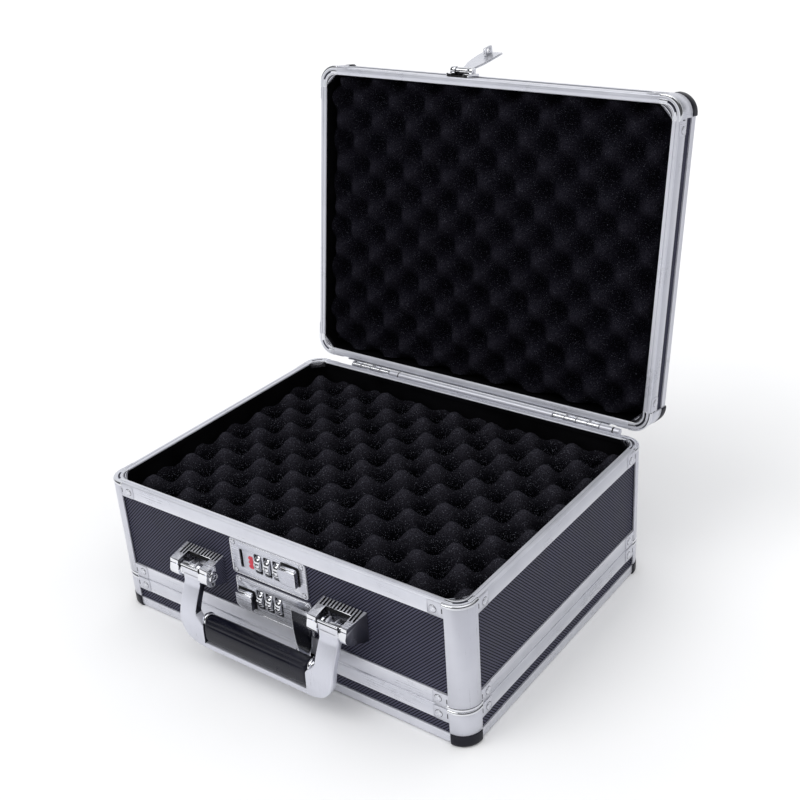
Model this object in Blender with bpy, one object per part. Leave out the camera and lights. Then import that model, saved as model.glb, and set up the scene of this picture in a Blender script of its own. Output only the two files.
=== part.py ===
"""Hard carrying case with a shallow lid above and below a middle body.

The case lies flat and centred on X and Y. The front (-Y) carries the handle and the
two locks, the rear (+Y) carries the hinges, and -X is left. The lower lid's outer
panel face is at z = 0. The lower lid is shut and the upper lid stands open.

Sizes are millimetres until the meshes are written. Each lid part is drawn shut, as on
the lower lid, and turned over about Y for the upper one.
"""
import math
from typing import NamedTuple

import bmesh
import bpy
from mathutils import Vector

for old in list(bpy.data.objects):
    bpy.data.objects.remove(old, do_unlink=True)

MM = 0.001

# ---- overall case -------------------------------------------------------
WIDTH = 350.0            # left to right over the frames
DEPTH = 270.0            # front to back over the frames
CORNER_R = 15.0          # plan radius of every upright corner
Z_LOW = 29.8             # parting plane of the lower lid
Z_HIGH = 120.8           # parting plane of the upper lid
Z_MID = 0.5 * (Z_LOW + Z_HIGH)
PART_GAP = 0.15          # each side of a parting plane
GAP = 0.3                # between neighbouring pieces
ARC_STEPS = 6            # steps round each quarter corner
LID_TOP = Z_LOW - PART_GAP
BODY_BOTTOM = Z_LOW + PART_GAP
BODY_TOP = Z_HIGH - PART_GAP

# ---- frames and trims ---------------------------------------------------
BAND_H = 12.3            # height of a rim frame's outer band
BAND_T = 1.1             # thickness of the outer band
RIM_FACE = 6.5           # width of the rim face
RIM_FACE_T = 1.2
RIM_LIP = 5.0            # depth of the rim frame's inner lip
RIM_LIP_T = 1.0
GUSSET = 11.0            # leg of the diagonal plate in each rim corner
TRIM_H = 8.6             # height of the outer edge trim
TRIM_PROUD = 1.1         # trim beyond the lid's outer panel face
TRIM_FLANGE = 7.5

# ---- panels, insets from the frame's face -------------------------------
PANEL_T = 3.8
PANEL_OUTER = 1.4
PANEL_INNER = PANEL_OUTER + PANEL_T
PANEL_REBATE = 0.25      # step that takes the edge trim's flange
PANEL_SHORT = 1.5        # panel edge short of the frame's rim face

# ---- corner pieces ------------------------------------------------------
BRACKET_FLANGE = 30.0    # reach of a riveted bracket from the corner
POST_FLANGE = 16.0       # reach of the upright post from the corner
BRACKET_PROUD = 1.1      # outer face of a bracket beyond the frame
# Rolled edge beside a parting plane, from the sheet towards the plane:
# inset from the frame's face, distance from the plane.
ROLL = ((-BRACKET_PROUD, 2.7), (-1.9, 2.2), (-2.1, 1.3), (-1.8, 0.4), (-BRACKET_PROUD, 0.0))
RIVET_AT = 26.0          # from the case's outer corner
RIVET_OFFSET = 0.6       # from the band's mid height, away from the parting plane
RIVET_R = 3.1
RIVET_TAPER = 0.62       # outer radius over inner radius
RIVET_ROOT = 0.7         # start of the head beyond the frame
RIVET_H = 1.5
CAP_H = 8.3
CAP_SECTION = (          # inset from the frame's face, z
    (-1.2, CAP_H), (-GAP, CAP_H), (-GAP, -TRIM_PROUD - GAP), (7.0, -TRIM_PROUD - GAP),
    (7.0, -2.1), (-0.6, -2.1), (-1.2, -1.5))

# ---- hinges -------------------------------------------------------------
LID_OPEN = 98.6          # degrees the upper lid stands open at rest
HINGE_Y = 139.35
HINGE_Z = Z_LOW + 1.1    # on the body's side of the parting plane
HINGE_X = 110.0          # middle of each knuckle group from the case's centre
HINGE_LEN = 44.0
KNUCKLES = 4
KNUCKLE_R = 2.8
HINGE_PIN_R = 1.25
HINGE_PIN_PLAY = 0.12
LEAF_HALF = 140.0        # half the length of a leaf
LEAF_Y = (DEPTH / 2 + GAP, DEPTH / 2 + 1.4)
LEAF_REACH = (1.4, 10.0)         # near and far edge from the hinge axis
KNUCKLE_ARM_REACH = (1.0, 2.6)

# ---- foam and divider ---------------------------------------------------
BOARD_T = 3.0
BODY_FOAM_H = 34.0
BODY_FOAM_GAP = 0.4
LID_FOAM_IN = 7.2
LID_FOAM_R = 20.0
LID_FOAM_SHORT = 2.0     # below the frame's rim face

# ---- locks --------------------------------------------------------------
LOCK_Z = 58.3            # height of the lower lock's centre
PLATE_W, PLATE_H = 76.0, 31.6
PLATE_BACK, PLATE_FACE = -133.9, -135.4
HOUSING_BACK = -121.8
HOUSING_HALF_H = 11.0
HOUSING_MARGIN = 6.0     # beyond the outermost fitting
HOLE_START = PLATE_FACE - 1
HOLE_END = HOUSING_BACK - 2
SLIT_HALF_W, SLIT_HALF_H = 1.6, 8.2
DIAL_R, DIAL_W = 8.0, 6.0
DIAL_Y = PLATE_FACE - 3.5 + DIAL_R       # dials stand 3.5 proud
DIAL_HOLE_CLEAR = 0.5
BUTTON_W, BUTTON_H, BUTTON_PROUD = 16.6, 15.6, 5.0
BUTTON_RISE = 2.4        # button nearer the lid than the plate's centre
BUTTON_TRAVEL = 4.0
BUTTON_HOLE_HALF = 4.3
STEM_HALF = 4.0
STEM_LEN = 8.0           # behind the plate's face

# ---- hasps, drawn as on the lower lid -----------------------------------
HASP_Y, HASP_Z = -139.7, 17.7    # hasp pin
HASP_LEN = 52.0          # pin to tip
HASP_W = 19.0
HASP_SWING = 165.0       # degrees the upper hasp is thrown back at rest
HASP_NECK_Z = 31.0       # start of the full width
HASP_FRONT = -140.6
HASP_PIN_R = 1.5
HASP_PIN_HALF = 11.0     # half the length, to the ears' outer faces
SEAT_HALF_W = 11.5
EAR_IN, EAR_R = 6.3, 3.6

# ---- handle -------------------------------------------------------------
ARM_IN, ARM_OUT = 60.0, 77.5
KNOB_OUT = 80.5          # outer end of the pivot barrel on each arm
KNOB_R = 6.5
ARM_DEEP = 6.8
PIVOT_Y, PIVOT_Z = -147.5, 73.6
HANDLE_PIN_R = 2.5
LOBE_IN = 51.7           # inner edge of each arm's foot, beside the grip
FOOT_Z = 39.5            # top of the foot at its full width
FOOT_BLEND = 7.5         # height over which the arm narrows above it
FOOT_R = 24.5            # rounding of the foot's outer edge
FOOT_DROP_MAX = 24.45    # keeps the rounding inside its circle
ARM_LEVELS = (           # z of each cross section
    PIVOT_Z, 66.0, 60.0, 53.0, 47.0, 44.0, 41.5, FOOT_Z,
    35.0, 30.0, 26.0, 22.0, 19.0, 17.0, 15.8, 15.15)
BRACKET_IN, BRACKET_OUT = 50.3, 90.3
LUG_Y, LUG_Z, LUG_R = -148.3, 73.2, 7.0
GRIP_Y, GRIP_Z = -156.9, 32.7
GRIP_D, GRIP_H = 15.8, 20.8
GRIP_EDGE_R = 5.5
GRIP_HOLE_R = 2.9
SPINE_R, SPINE_HALF = 2.6, 54.0
BAR_HALF = 53.2
BAR_OUTLINE = (          # y, z
    (-163.3, 15.3), (-165.0, 21.8), (-152.6, 21.8), (-152.6, 17.0), (-154.2, 15.3))


# ------------------------------------------------------------------ shapes
class Shape:
    """Vertices in millimetres with the faces between them."""

    def __init__(self, verts, faces):
        self.verts = verts
        self.faces = faces


def merged(*shapes):
    """Several shapes held as one."""
    verts, faces = [], []
    for shape in shapes:
        base = len(verts)
        verts += shape.verts
        faces += [tuple(i + base for i in face) for face in shape.faces]
    return Shape(verts, faces)


def about(centre, half):
    return centre - half, centre + half


def mirrored(side, near, far, centre=0.0):
    """Ordered span between two distances to one side (-1 or 1) of a centre."""
    return tuple(sorted((centre + side * near, centre + side * far)))


def over_z(z, upper):
    """Height of a point drawn on the lower half, after turning if upper."""
    return 2 * Z_MID - z if upper else z


def turned(shape, upper):
    """The upper half of the case is the lower half turned over about Y."""
    if not upper:
        return shape
    return Shape([(-x, y, 2 * Z_MID - z) for x, y, z in shape.verts], shape.faces)


def on_axis(axis, p, q, along):
    return {"x": (along, p, q), "y": (p, along, q), "z": (p, q, along)}[axis]


def between(start, end):
    """Closed solid between two loops of equal length."""
    n = len(start)
    faces = [tuple(range(n)), tuple(range(2 * n - 1, n - 1, -1))]
    for i in range(n):
        j = (i + 1) % n
        faces.append((i, i + n, j + n, j))
    return Shape(start + end, faces)


def prism(outline, axis, lo, hi):
    """Closed outline in the two other axes, drawn out along one axis."""
    return between(*([on_axis(axis, p, q, t) for p, q in outline] for t in (lo, hi)))


def box(x0, x1, y0, y1, z0, z1):
    return prism([(x0, y0), (x1, y0), (x1, y1), (x0, y1)], "z", z0, z1)


def rod(axis, centre, radius, lo, hi, sides=16, end_radius=None):
    """Cylinder, or a cone when end_radius is given, along an axis."""
    def circle(r, along):
        angles = [2.0 * math.pi * (i + 0.5) / sides for i in range(sides)]
        return [on_axis(axis, centre[0] + r * math.cos(a), centre[1] + r * math.sin(a), along)
                for a in angles]

    return between(circle(radius, lo), circle(end_radius or radius, hi))


def arc(centre, radius, start, end, steps):
    """Points from one angle to another, in degrees."""
    angles = [math.radians(start + (end - start) * i / steps) for i in range(steps + 1)]
    return [(centre[0] + radius * math.cos(a), centre[1] + radius * math.sin(a))
            for a in angles]


def corner_run(inset):
    """Plan points round the +x +y corner at an inset from the outer face."""
    return arc((WIDTH / 2 - CORNER_R, DEPTH / 2 - CORNER_R), CORNER_R - inset,
               0.0, 90.0, ARC_STEPS)


def gusset_run(inset):
    """Plan points straight across the +x +y corner."""
    x, y = WIDTH / 2 - inset, DEPTH / 2 - inset
    return [(x - GUSSET * i / ARC_STEPS, y - GUSSET + GUSSET * i / ARC_STEPS)
            for i in range(ARC_STEPS + 1)]


def all_round(run):
    """One corner's points repeated to a closed loop, anticlockwise."""
    back = run[::-1]
    return (run + [(-x, y) for x, y in back]
            + [(-x, -y) for x, y in run] + [(x, -y) for x, y in back])


def raised(plan, z):
    return [(x, y, z) for x, y in plan]


def level(inset, z, run=corner_run):
    """Loop round the whole case at an inset and a height."""
    return raised(all_round(run(inset)), z)


def quads(rows, rows_close, ends_close):
    """Quads between neighbouring rows of points.

    rows_close joins each row's last point to its first, ends_close joins
    the last row to the first.
    """
    n, count = len(rows[0]), len(rows)
    faces = []
    for a in range(count if ends_close else count - 1):
        b = (a + 1) % count
        for i in range(n if rows_close else n - 1):
            j = (i + 1) % n
            faces.append((a * n + i, a * n + j, b * n + j, b * n + i))
    return faces


def flat(rows):
    return [point for row in rows for point in row]


def ring(loops):
    """Section swept round the whole plan, one loop for each section point."""
    return Shape(flat(loops), quads(loops, rows_close=True, ends_close=True))


def stack(loops):
    """Closed skin through loops of equal length, capped at both ends."""
    n, count = len(loops[0]), len(loops)
    caps = [tuple(range(n - 1, -1, -1)), tuple(range((count - 1) * n, count * n))]
    return Shape(flat(loops), caps + quads(loops, rows_close=True, ends_close=False))


def slab(plan, z0, z1):
    return stack([raised(plan, z0), raised(plan, z1)])


def corner_sweep(section, sx, sy, flange):
    """Section points (inset, z) run along one flange, round the corner and
    along the other flange."""
    rows = []
    for inset, z in section:
        run = [(WIDTH / 2 - inset, DEPTH / 2 - flange), *corner_run(inset),
               (WIDTH / 2 - flange, DEPTH / 2 - inset)]
        rows.append([(sx * x, sy * y, z) for x, y in run])
    n, count = len(rows[0]), len(rows)
    ends = [tuple(a * n for a in range(count)),
            tuple(a * n + n - 1 for a in range(count - 1, -1, -1))]
    return Shape(flat(rows), quads(rows, rows_close=False, ends_close=True) + ends)


# ------------------------------------------------- materials and placement
visible = bpy.data.collections.new("case")
tools = bpy.data.collections.new("cutters")
bpy.context.scene.collection.children.link(visible)
bpy.context.scene.collection.children.link(tools)

FINISH = {               # base colour, roughness, metallic
    "aluminium": ((0.62, 0.63, 0.66), 0.35, 1.0),
    "steel": ((0.72, 0.73, 0.76), 0.16, 1.0),
    "satin": ((0.68, 0.69, 0.74), 0.38, 1.0),
    "laminate": ((0.035, 0.036, 0.045), 0.55, 0.0),
    "plastic": ((0.012, 0.012, 0.014), 0.40, 0.0),
    "foam": ((0.008, 0.008, 0.009), 0.95, 0.0),
    "board": ((0.010, 0.010, 0.011), 0.80, 0.0),
    "grip": ((0.018, 0.018, 0.022), 0.45, 0.0),
}


def paint(obj, finish):
    colour, roughness, metallic = FINISH[finish]
    mat = bpy.data.materials.new("mat_" + obj.name)
    mat.use_nodes = True
    inputs = mat.node_tree.nodes["Principled BSDF"].inputs
    inputs["Base Color"].default_value = (*colour, 1.0)
    inputs["Roughness"].default_value = roughness
    inputs["Metallic"].default_value = metallic
    obj.data.materials.append(mat)


def pivot(name, y, z, x=0.0, parent=None, swing=0.0):
    """Empty on a joint axis. Its children are drawn as if it were shut."""
    empty = bpy.data.objects.new(name, None)
    empty.empty_display_size = 0.02
    visible.objects.link(empty)
    home = Vector((x * MM, y * MM, z * MM))
    empty["home"] = list(home)
    empty.location = home
    if parent is not None:
        empty.parent = parent
        empty.location = home - Vector(parent["home"])
    empty.rotation_euler = (math.radians(swing), 0.0, 0.0)
    return empty


def mesh_object(name, shape, parent, collection):
    home = Vector(parent["home"]) if parent is not None else Vector((0, 0, 0))
    mesh = bpy.data.meshes.new(name)
    bm = bmesh.new()
    verts = [bm.verts.new(Vector(p) * MM - home) for p in shape.verts]
    for face in shape.faces:
        bm.faces.new([verts[i] for i in face])
    bmesh.ops.recalc_face_normals(bm, faces=bm.faces[:])
    bm.to_mesh(mesh)
    bm.free()
    obj = bpy.data.objects.new(name, mesh)
    collection.objects.link(obj)
    if parent is not None:
        obj.parent = parent
    return obj


def piece(name, finish, base, adds=(), cuts=(), parent=None, upper=False):
    """One solid: a base shape, shapes added to it and shapes cut out."""
    obj = mesh_object(name, turned(base, upper), parent, visible)
    for operation, group in (("UNION", adds), ("DIFFERENCE", cuts)):
        for i, extra in enumerate(group):
            tool = mesh_object(f"{name}_{operation[:3].lower()}{i}",
                               turned(extra, upper), parent, tools)
            tool.hide_render = True
            tool.display_type = "WIRE"
            mod = obj.modifiers.new(operation.title() + str(i), "BOOLEAN")
            mod.operation = operation
            mod.solver = "EXACT"
            mod.object = tool
    paint(obj, finish)


# --------------------------------------------------- frames and corner parts
CORNERS = {"fl": (-1, -1), "fr": (1, -1), "rl": (-1, 1), "rr": (1, 1)}
SIDES = {"left": -1, "right": 1}


def rim_frame(top):
    """Outer band, rim face at the top and a short lip down its inner edge."""
    lip_end = top - RIM_LIP
    return ring([
        level(0.0, top), level(RIM_FACE, top, gusset_run),
        level(RIM_FACE, lip_end, gusset_run),
        level(RIM_FACE - RIM_LIP_T, lip_end, gusset_run),
        level(RIM_FACE - RIM_LIP_T, top - RIM_FACE_T, gusset_run),
        level(BAND_T, top - RIM_FACE_T), level(BAND_T, top - BAND_H),
        level(0.0, top - BAND_H)])


def rolled(z, way):
    """Rolled edge from the sheet to the plane at z; way is -1 below it, 1 above."""
    return [(inset, z + way * away) for inset, away in ROLL]


def rivets(sx, sy, plane, way):
    """A raised head on each flange, on the given side of a parting plane."""
    z = plane + way * (0.5 * BAND_H + RIVET_OFFSET)
    x_face = sx * (WIDTH / 2 + RIVET_ROOT)
    y_face = sy * (DEPTH / 2 + RIVET_ROOT)
    end_radius = RIVET_R * RIVET_TAPER
    return merged(
        rod("y", (sx * (WIDTH / 2 - RIVET_AT), z), RIVET_R,
            y_face, y_face + sy * RIVET_H, 12, end_radius),
        rod("x", (sy * (DEPTH / 2 - RIVET_AT), z), RIVET_R,
            x_face, x_face + sx * RIVET_H, 12, end_radius))


def flange_cut(sx, sy, z0, z1):
    """Takes a corner piece's flanges back from the bracket's reach to the post's."""
    far, near, half_t = BRACKET_FLANGE + 2.0, POST_FLANGE, 4.0
    x, y = WIDTH / 2, DEPTH / 2
    return merged(
        box(*mirrored(sx, x - far, x - near), *mirrored(sy, y - half_t, y + half_t), z0, z1),
        box(*mirrored(sx, x - half_t, x + half_t), *mirrored(sy, y - far, y - near), z0, z1))


# ------------------------------------------------------------------- lids
def build_lid_panel(side, fixing):
    """Open tray whose outer face is stepped back under the trim's flange."""
    seat = TRIM_FLANGE + GAP
    top = LID_TOP - PANEL_SHORT
    tray = stack([level(seat, 0.0), level(seat, PANEL_REBATE),
                  level(PANEL_OUTER, PANEL_REBATE), level(PANEL_OUTER, top),
                  level(PANEL_INNER, top), level(PANEL_INNER, PANEL_T)])
    piece(side + "_lid_panel", "laminate", tray, **fixing)


def build_lid_trim(side, fixing):
    """Angle round the lid's outer edge."""
    top = TRIM_H - TRIM_PROUD
    trim = ring([level(0.0, -TRIM_PROUD), level(0.0, top), level(BAND_T, top),
                 level(BAND_T, -GAP), level(TRIM_FLANGE, -GAP),
                 level(TRIM_FLANGE, -TRIM_PROUD)])
    piece(side + "_lid_edge_trim", "aluminium", trim, **fixing)


def build_lid_corners(side, fixing):
    """Riveted bracket and plastic cap on each corner."""
    band_end = LID_TOP - BAND_H - GAP
    bracket = [(-GAP, LID_TOP), *reversed(rolled(LID_TOP, -1)),
               (-BRACKET_PROUD, CAP_H + GAP), (BAND_T, CAP_H + GAP),
               (BAND_T, band_end), (-GAP, band_end)]
    for tag, (sx, sy) in CORNERS.items():
        if fixing["upper"]:      # turning over swaps left and right
            tag = tag[0] + {"l": "r", "r": "l"}[tag[1]]
        piece(side + "_lid_corner_" + tag, "steel",
              corner_sweep(bracket, sx, sy, BRACKET_FLANGE),
              adds=(rivets(sx, sy, LID_TOP, -1),),
              cuts=(flange_cut(sx, sy, CAP_H - 1.0, LID_TOP - BAND_H - 1.0),), **fixing)
        piece(side + "_lid_cap_" + tag, "plastic",
              corner_sweep(CAP_SECTION, sx, sy, POST_FLANGE), **fixing)


def build_lid_foam(side, fixing):
    inset = LID_FOAM_IN + LID_FOAM_R
    run = arc((WIDTH / 2 - inset, DEPTH / 2 - inset), LID_FOAM_R, 0.0, 90.0, ARC_STEPS)
    foam = slab(all_round(run), PANEL_T + GAP, LID_TOP - LID_FOAM_SHORT)
    piece(side + "_lid_foam", "foam", foam, **fixing)


def build_lid(side, upper):
    lid = pivot(side + "_lid_pivot", HINGE_Y, over_z(HINGE_Z, upper),
                swing=-LID_OPEN if upper else 0.0)
    fixing = {"parent": lid, "upper": upper}
    build_lid_panel(side, fixing)
    piece(side + "_lid_rim_frame", "aluminium", rim_frame(LID_TOP), **fixing)
    build_lid_trim(side, fixing)
    build_lid_corners(side, fixing)
    build_lid_foam(side, fixing)
    return lid


# ------------------------------------------------------------ lock layout
class Lock(NamedTuple):
    centre_x: float      # plate
    centre_z: float
    lid_way: int         # z direction of the lid it fastens
    slit_x: float
    dials_x: tuple
    button_x: float
    button_way: int      # x direction of the button's travel
    spare: float         # extra housing beyond the button


LOCKS = {
    "upper": Lock(centre_x=-2.0, centre_z=over_z(LOCK_Z, True), lid_way=1, slit_x=-29.0,
                  dials_x=(-11.7, -2.3, 7.1), button_x=20.7, button_way=1, spare=6.0),
    "lower": Lock(centre_x=-0.5, centre_z=LOCK_Z, lid_way=-1, slit_x=30.0,
                  dials_x=(-14.2, -4.8, 4.6), button_x=-28.0, button_way=-1, spare=3.0),
}


def housing(lock, forward, grow=0.0, back=0.0):
    """Box behind the plate. It starts forward of the plate's back, and may be
    grown all round and run further back to make its own recess."""
    places = (lock.slit_x, lock.button_x, *lock.dials_x)
    lo = min(places) - HOUSING_MARGIN - grow
    hi = max(places) + HOUSING_MARGIN + grow
    if lock.button_way > 0:
        hi += lock.spare
    else:
        lo -= lock.spare
    return box(lo, hi, PLATE_BACK - forward, HOUSING_BACK + grow + back,
               *about(lock.centre_z, HOUSING_HALF_H + grow))


def recess(lock, grow, back=0.0):
    return housing(lock, forward=2.0, grow=grow, back=back)


# ------------------------------------------------------------------- body
def build_body_panels():
    z0, z1 = BODY_BOTTOM + PANEL_SHORT, BODY_TOP - PANEL_SHORT
    wall = ring([level(PANEL_OUTER, z0), level(PANEL_INNER, z0),
                 level(PANEL_INNER, z1), level(PANEL_OUTER, z1)])
    piece("body_side_panels", "laminate", wall,
          cuts=[recess(lock, GAP, back=4.0) for lock in LOCKS.values()])


def build_body_rims():
    piece("body_rim_upper", "aluminium", rim_frame(BODY_TOP))
    # the upper frame turned over
    piece("body_rim_lower", "aluminium", rim_frame(BODY_TOP), upper=True)


def build_body_filling():
    """Divider board at mid height with a foam block on each side of it."""
    piece("body_divider", "board",
          slab(all_round(corner_run(PANEL_INNER + GAP)), *about(Z_MID, BOARD_T / 2)))
    bottom = Z_MID + BOARD_T / 2 + GAP
    plan = all_round(corner_run(PANEL_INNER + BODY_FOAM_GAP))
    block = slab(plan, bottom, bottom + BODY_FOAM_H)
    for side, lock in LOCKS.items():
        piece("body_foam_" + side, "foam", turned(block, side == "lower"),
              cuts=(recess(lock, BODY_FOAM_GAP),))


def build_body_posts():
    """Upright corner post with a riveted bracket at each end."""
    low, high = BODY_BOTTOM + BAND_H, BODY_TOP - BAND_H
    section = [(-GAP, BODY_TOP), *reversed(rolled(BODY_TOP, -1)),
               *rolled(BODY_BOTTOM, 1), (-GAP, BODY_BOTTOM), (-GAP, low + GAP),
               (BAND_T, low + GAP), (BAND_T, high - GAP), (-GAP, high - GAP)]
    for tag, (sx, sy) in CORNERS.items():
        heads = merged(rivets(sx, sy, BODY_TOP, -1), rivets(sx, sy, BODY_BOTTOM, 1))
        piece("body_post_" + tag, "steel", corner_sweep(section, sx, sy, BRACKET_FLANGE),
              adds=(heads,), cuts=(flange_cut(sx, sy, low + 1.0, high - 1.0),))


# ------------------------------------------------------------------ hinges
def build_hinge_leaf(name, first, way, parent, upper):
    """Leaf with every second knuckle, counted outwards from the first index.
    way is the z direction of the leaf from the hinge axis."""
    step = HINGE_LEN / KNUCKLES
    start = HINGE_X - HINGE_LEN / 2
    axis_at = (HINGE_Y, HINGE_Z)
    arms, barrels, bores = [], [], []
    for sx in (-1, 1):
        for k in range(first, KNUCKLES, 2):
            near = start + k * step + (GAP / 2 if k else 0)
            far = start + (k + 1) * step - (GAP / 2 if k < KNUCKLES - 1 else 0)
            a, b = mirrored(sx, near, far)
            arms.append(box(a, b, LEAF_Y[0] + 0.2, HINGE_Y,
                            *mirrored(way, *KNUCKLE_ARM_REACH, HINGE_Z)))
            barrels.append(rod("x", axis_at, KNUCKLE_R, a, b))
            bores.append(rod("x", axis_at, HINGE_PIN_R + HINGE_PIN_PLAY, a - 1, b + 1))
    leaf = box(-LEAF_HALF, LEAF_HALF, *LEAF_Y, *mirrored(way, *LEAF_REACH, HINGE_Z))
    piece(name, "steel", leaf, adds=(merged(*arms), merged(*barrels)),
          cuts=(merged(*bores),), parent=parent, upper=upper)


def build_hinge(side, upper, lid):
    build_hinge_leaf(side + "_hinge_body_leaf", 0, 1, None, upper)
    build_hinge_leaf(side + "_hinge_lid_leaf", 1, -1, lid, upper)
    half = HINGE_LEN / 2 + 0.4
    for tag, sx in SIDES.items():
        drawn_side = -sx if upper else sx    # turning over swaps it back
        piece(side + "_hinge_pin_" + tag, "steel",
              rod("x", (HINGE_Y, HINGE_Z), HINGE_PIN_R,
                  *mirrored(drawn_side, HINGE_X - half, HINGE_X + half)), upper=upper)


# ------------------------------------------------------------------- locks
def build_lock_body(side, lock, button_z):
    """Plate and housing with openings for slit, dials and button."""
    x, z = lock.centre_x, lock.centre_z
    plate = box(*about(x, PLATE_W / 2), PLATE_FACE, PLATE_BACK, *about(z, PLATE_H / 2))
    slit = box(*about(lock.slit_x, SLIT_HALF_W), HOLE_START, HOLE_END,
               *about(z, SLIT_HALF_H))
    dial_holes = [box(*about(dial_x, DIAL_W / 2 + GAP), HOLE_START,
                      DIAL_Y + DIAL_R + DIAL_HOLE_CLEAR, *about(z, DIAL_R + DIAL_HOLE_CLEAR))
                  for dial_x in lock.dials_x]
    button_hole = box(*mirrored(lock.button_way, -BUTTON_HOLE_HALF,
                                BUTTON_HOLE_HALF + BUTTON_TRAVEL, lock.button_x),
                      HOLE_START, HOLE_END, *about(button_z, BUTTON_HOLE_HALF))
    piece(side + "_lock_body", "steel", plate, adds=(housing(lock, forward=0.5),),
          cuts=(merged(slit, *dial_holes, button_hole),))


def build_dials(side, lock):
    for i, x in enumerate(lock.dials_x, start=1):
        axle = pivot(f"{side}_dial_pivot_{i}", DIAL_Y, lock.centre_z, x=x)
        wheel = rod("x", (DIAL_Y, lock.centre_z), DIAL_R, *about(x, DIAL_W / 2), sides=20)
        piece(f"{side}_dial_{i}", "steel", wheel, parent=axle)


def build_button(side, x, z):
    slide = pivot(side + "_button_pivot", PLATE_FACE - BUTTON_PROUD / 2, z, x=x)
    cap = box(*about(x, BUTTON_W / 2), PLATE_FACE - BUTTON_PROUD, PLATE_FACE - GAP,
              *about(z, BUTTON_H / 2))
    stem = box(*about(x, STEM_HALF), PLATE_FACE - 1.0, PLATE_FACE + STEM_LEN,
               *about(z, STEM_HALF))
    piece(side + "_button", "steel", cap, adds=(stem,), parent=slide)


def build_hasp_mount(side, x, lid, upper):
    """Seat on the lid with an ear on each side of the hasp's roll."""
    pin_at = (HASP_Y, HASP_Z)
    seat = box(*about(x, SEAT_HALF_W), -138.0, -DEPTH / 2 - GAP, 9.4, 27.0)
    ears = [rod("x", pin_at, EAR_R, *mirrored(sx, EAR_IN, HASP_PIN_HALF, x))
            for sx in (-1, 1)]
    slot = box(*about(x, 6.0), -150.0, -135.9, HASP_Z - 4.2, 40.0)
    bore = rod("x", pin_at, HASP_PIN_R + 0.12, *about(x, 13))
    piece(side + "_hasp_mount", "steel", seat, adds=(merged(*ears),),
          cuts=(merged(slot, bore),), parent=lid, upper=upper)


def build_hasp(side, x, lid, upper):
    """Broad plate on a narrow link; the upper one also has a staple."""
    pin_at = (HASP_Y, HASP_Z)
    hinge = pivot(side + "_hasp_pivot", HASP_Y, over_z(HASP_Z, upper),
                  x=LOCKS[side].slit_x, parent=lid, swing=-HASP_SWING if upper else 0.0)
    plate = box(*about(x, HASP_W / 2), HASP_FRONT, -136.8, HASP_NECK_Z, HASP_Z + HASP_LEN)
    link = box(*about(x, 5.6), HASP_FRONT, -138.3, HASP_Z, HASP_NECK_Z + 3.0)
    roll = rod("x", pin_at, 3.1, *about(x, 5.7))
    pin = rod("x", pin_at, HASP_PIN_R, *about(x, HASP_PIN_HALF))
    adds = [link, roll, pin]
    if upper:
        adds.append(box(*about(x, 1.2), -138.0, -131.0, *about(LOCK_Z, 6.4)))
    piece(side + "_hasp", "steel", plate, adds=adds, parent=hinge, upper=upper)


def build_lock(side, upper, lid):
    lock = LOCKS[side]
    button_z = lock.centre_z + lock.lid_way * BUTTON_RISE
    build_lock_body(side, lock, button_z)
    build_dials(side, lock)
    build_button(side, lock.button_x, button_z)
    hasp_x = -lock.slit_x if upper else lock.slit_x      # before turning over
    build_hasp_mount(side, hasp_x, lid, upper)
    build_hasp(side, hasp_x, lid, upper)


# ------------------------------------------------------------------ handle
def build_handle_brackets():
    """Block round each arm's pivot, open below, with a window in its top."""
    outline = [(PLATE_BACK, 60.7), (PLATE_BACK, 86.1), (-153.0, 82.4), (-153.9, 79.0),
               *arc((LUG_Y, LUG_Z), LUG_R, 158.0, 262.0, 6)]     # y, z
    for tag, sx in SIDES.items():
        arm_space = box(*mirrored(sx, ARM_IN - 0.4, KNOB_OUT + 0.4),
                        -170.0, -139.0, 40.0, 80.8)
        window = box(*mirrored(sx, 58.2, 81.6), -150.3, -141.3, 78.0, 95.0)
        bore = rod("x", (PIVOT_Y, PIVOT_Z), HANDLE_PIN_R + 0.12, *mirrored(sx, 54.0, 87.0))
        piece("handle_bracket_" + tag, "steel",
              prism(outline, "x", *mirrored(sx, BRACKET_IN, BRACKET_OUT)),
              cuts=(arm_space, merged(window, bore)))


def arm_front(z):
    """Y of an arm's front face, which bends forward below the pivot."""
    bend_top, bend_foot, heel, bottom = 66.0, 32.0, 22.0, 15.0
    if z > bend_top:
        return -154.0
    if z > bend_foot:
        turn = 90.0 * (bend_top - z) / (bend_top - bend_foot)
        return -154.0 - 11.0 * math.sin(math.radians(turn))
    if z > heel:
        return -165.0 - 0.2 * (bend_foot - z) / (bend_foot - heel)
    return -165.2 + 1.7 * (heel - z) / (heel - bottom)


def handle_arm(sx):
    """Flat arm that widens inwards to its foot and is rounded outside."""
    loops = []
    for z in ARM_LEVELS:
        narrowing = min(1.0, max(0.0, (z - FOOT_Z) / FOOT_BLEND))
        x_in = LOBE_IN + (ARM_IN - LOBE_IN) * narrowing
        drop = min(max(0.0, FOOT_Z - z), FOOT_DROP_MAX)
        x_out = ARM_OUT - FOOT_R + math.sqrt(FOOT_R ** 2 - drop ** 2)
        front = arm_front(z)
        back = front + ARM_DEEP
        loops.append([(sx * x_in, front, z), (sx * x_out, front, z),
                      (sx * x_out, back, z), (sx * x_in, back, z)])
    return stack(loops)


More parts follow.
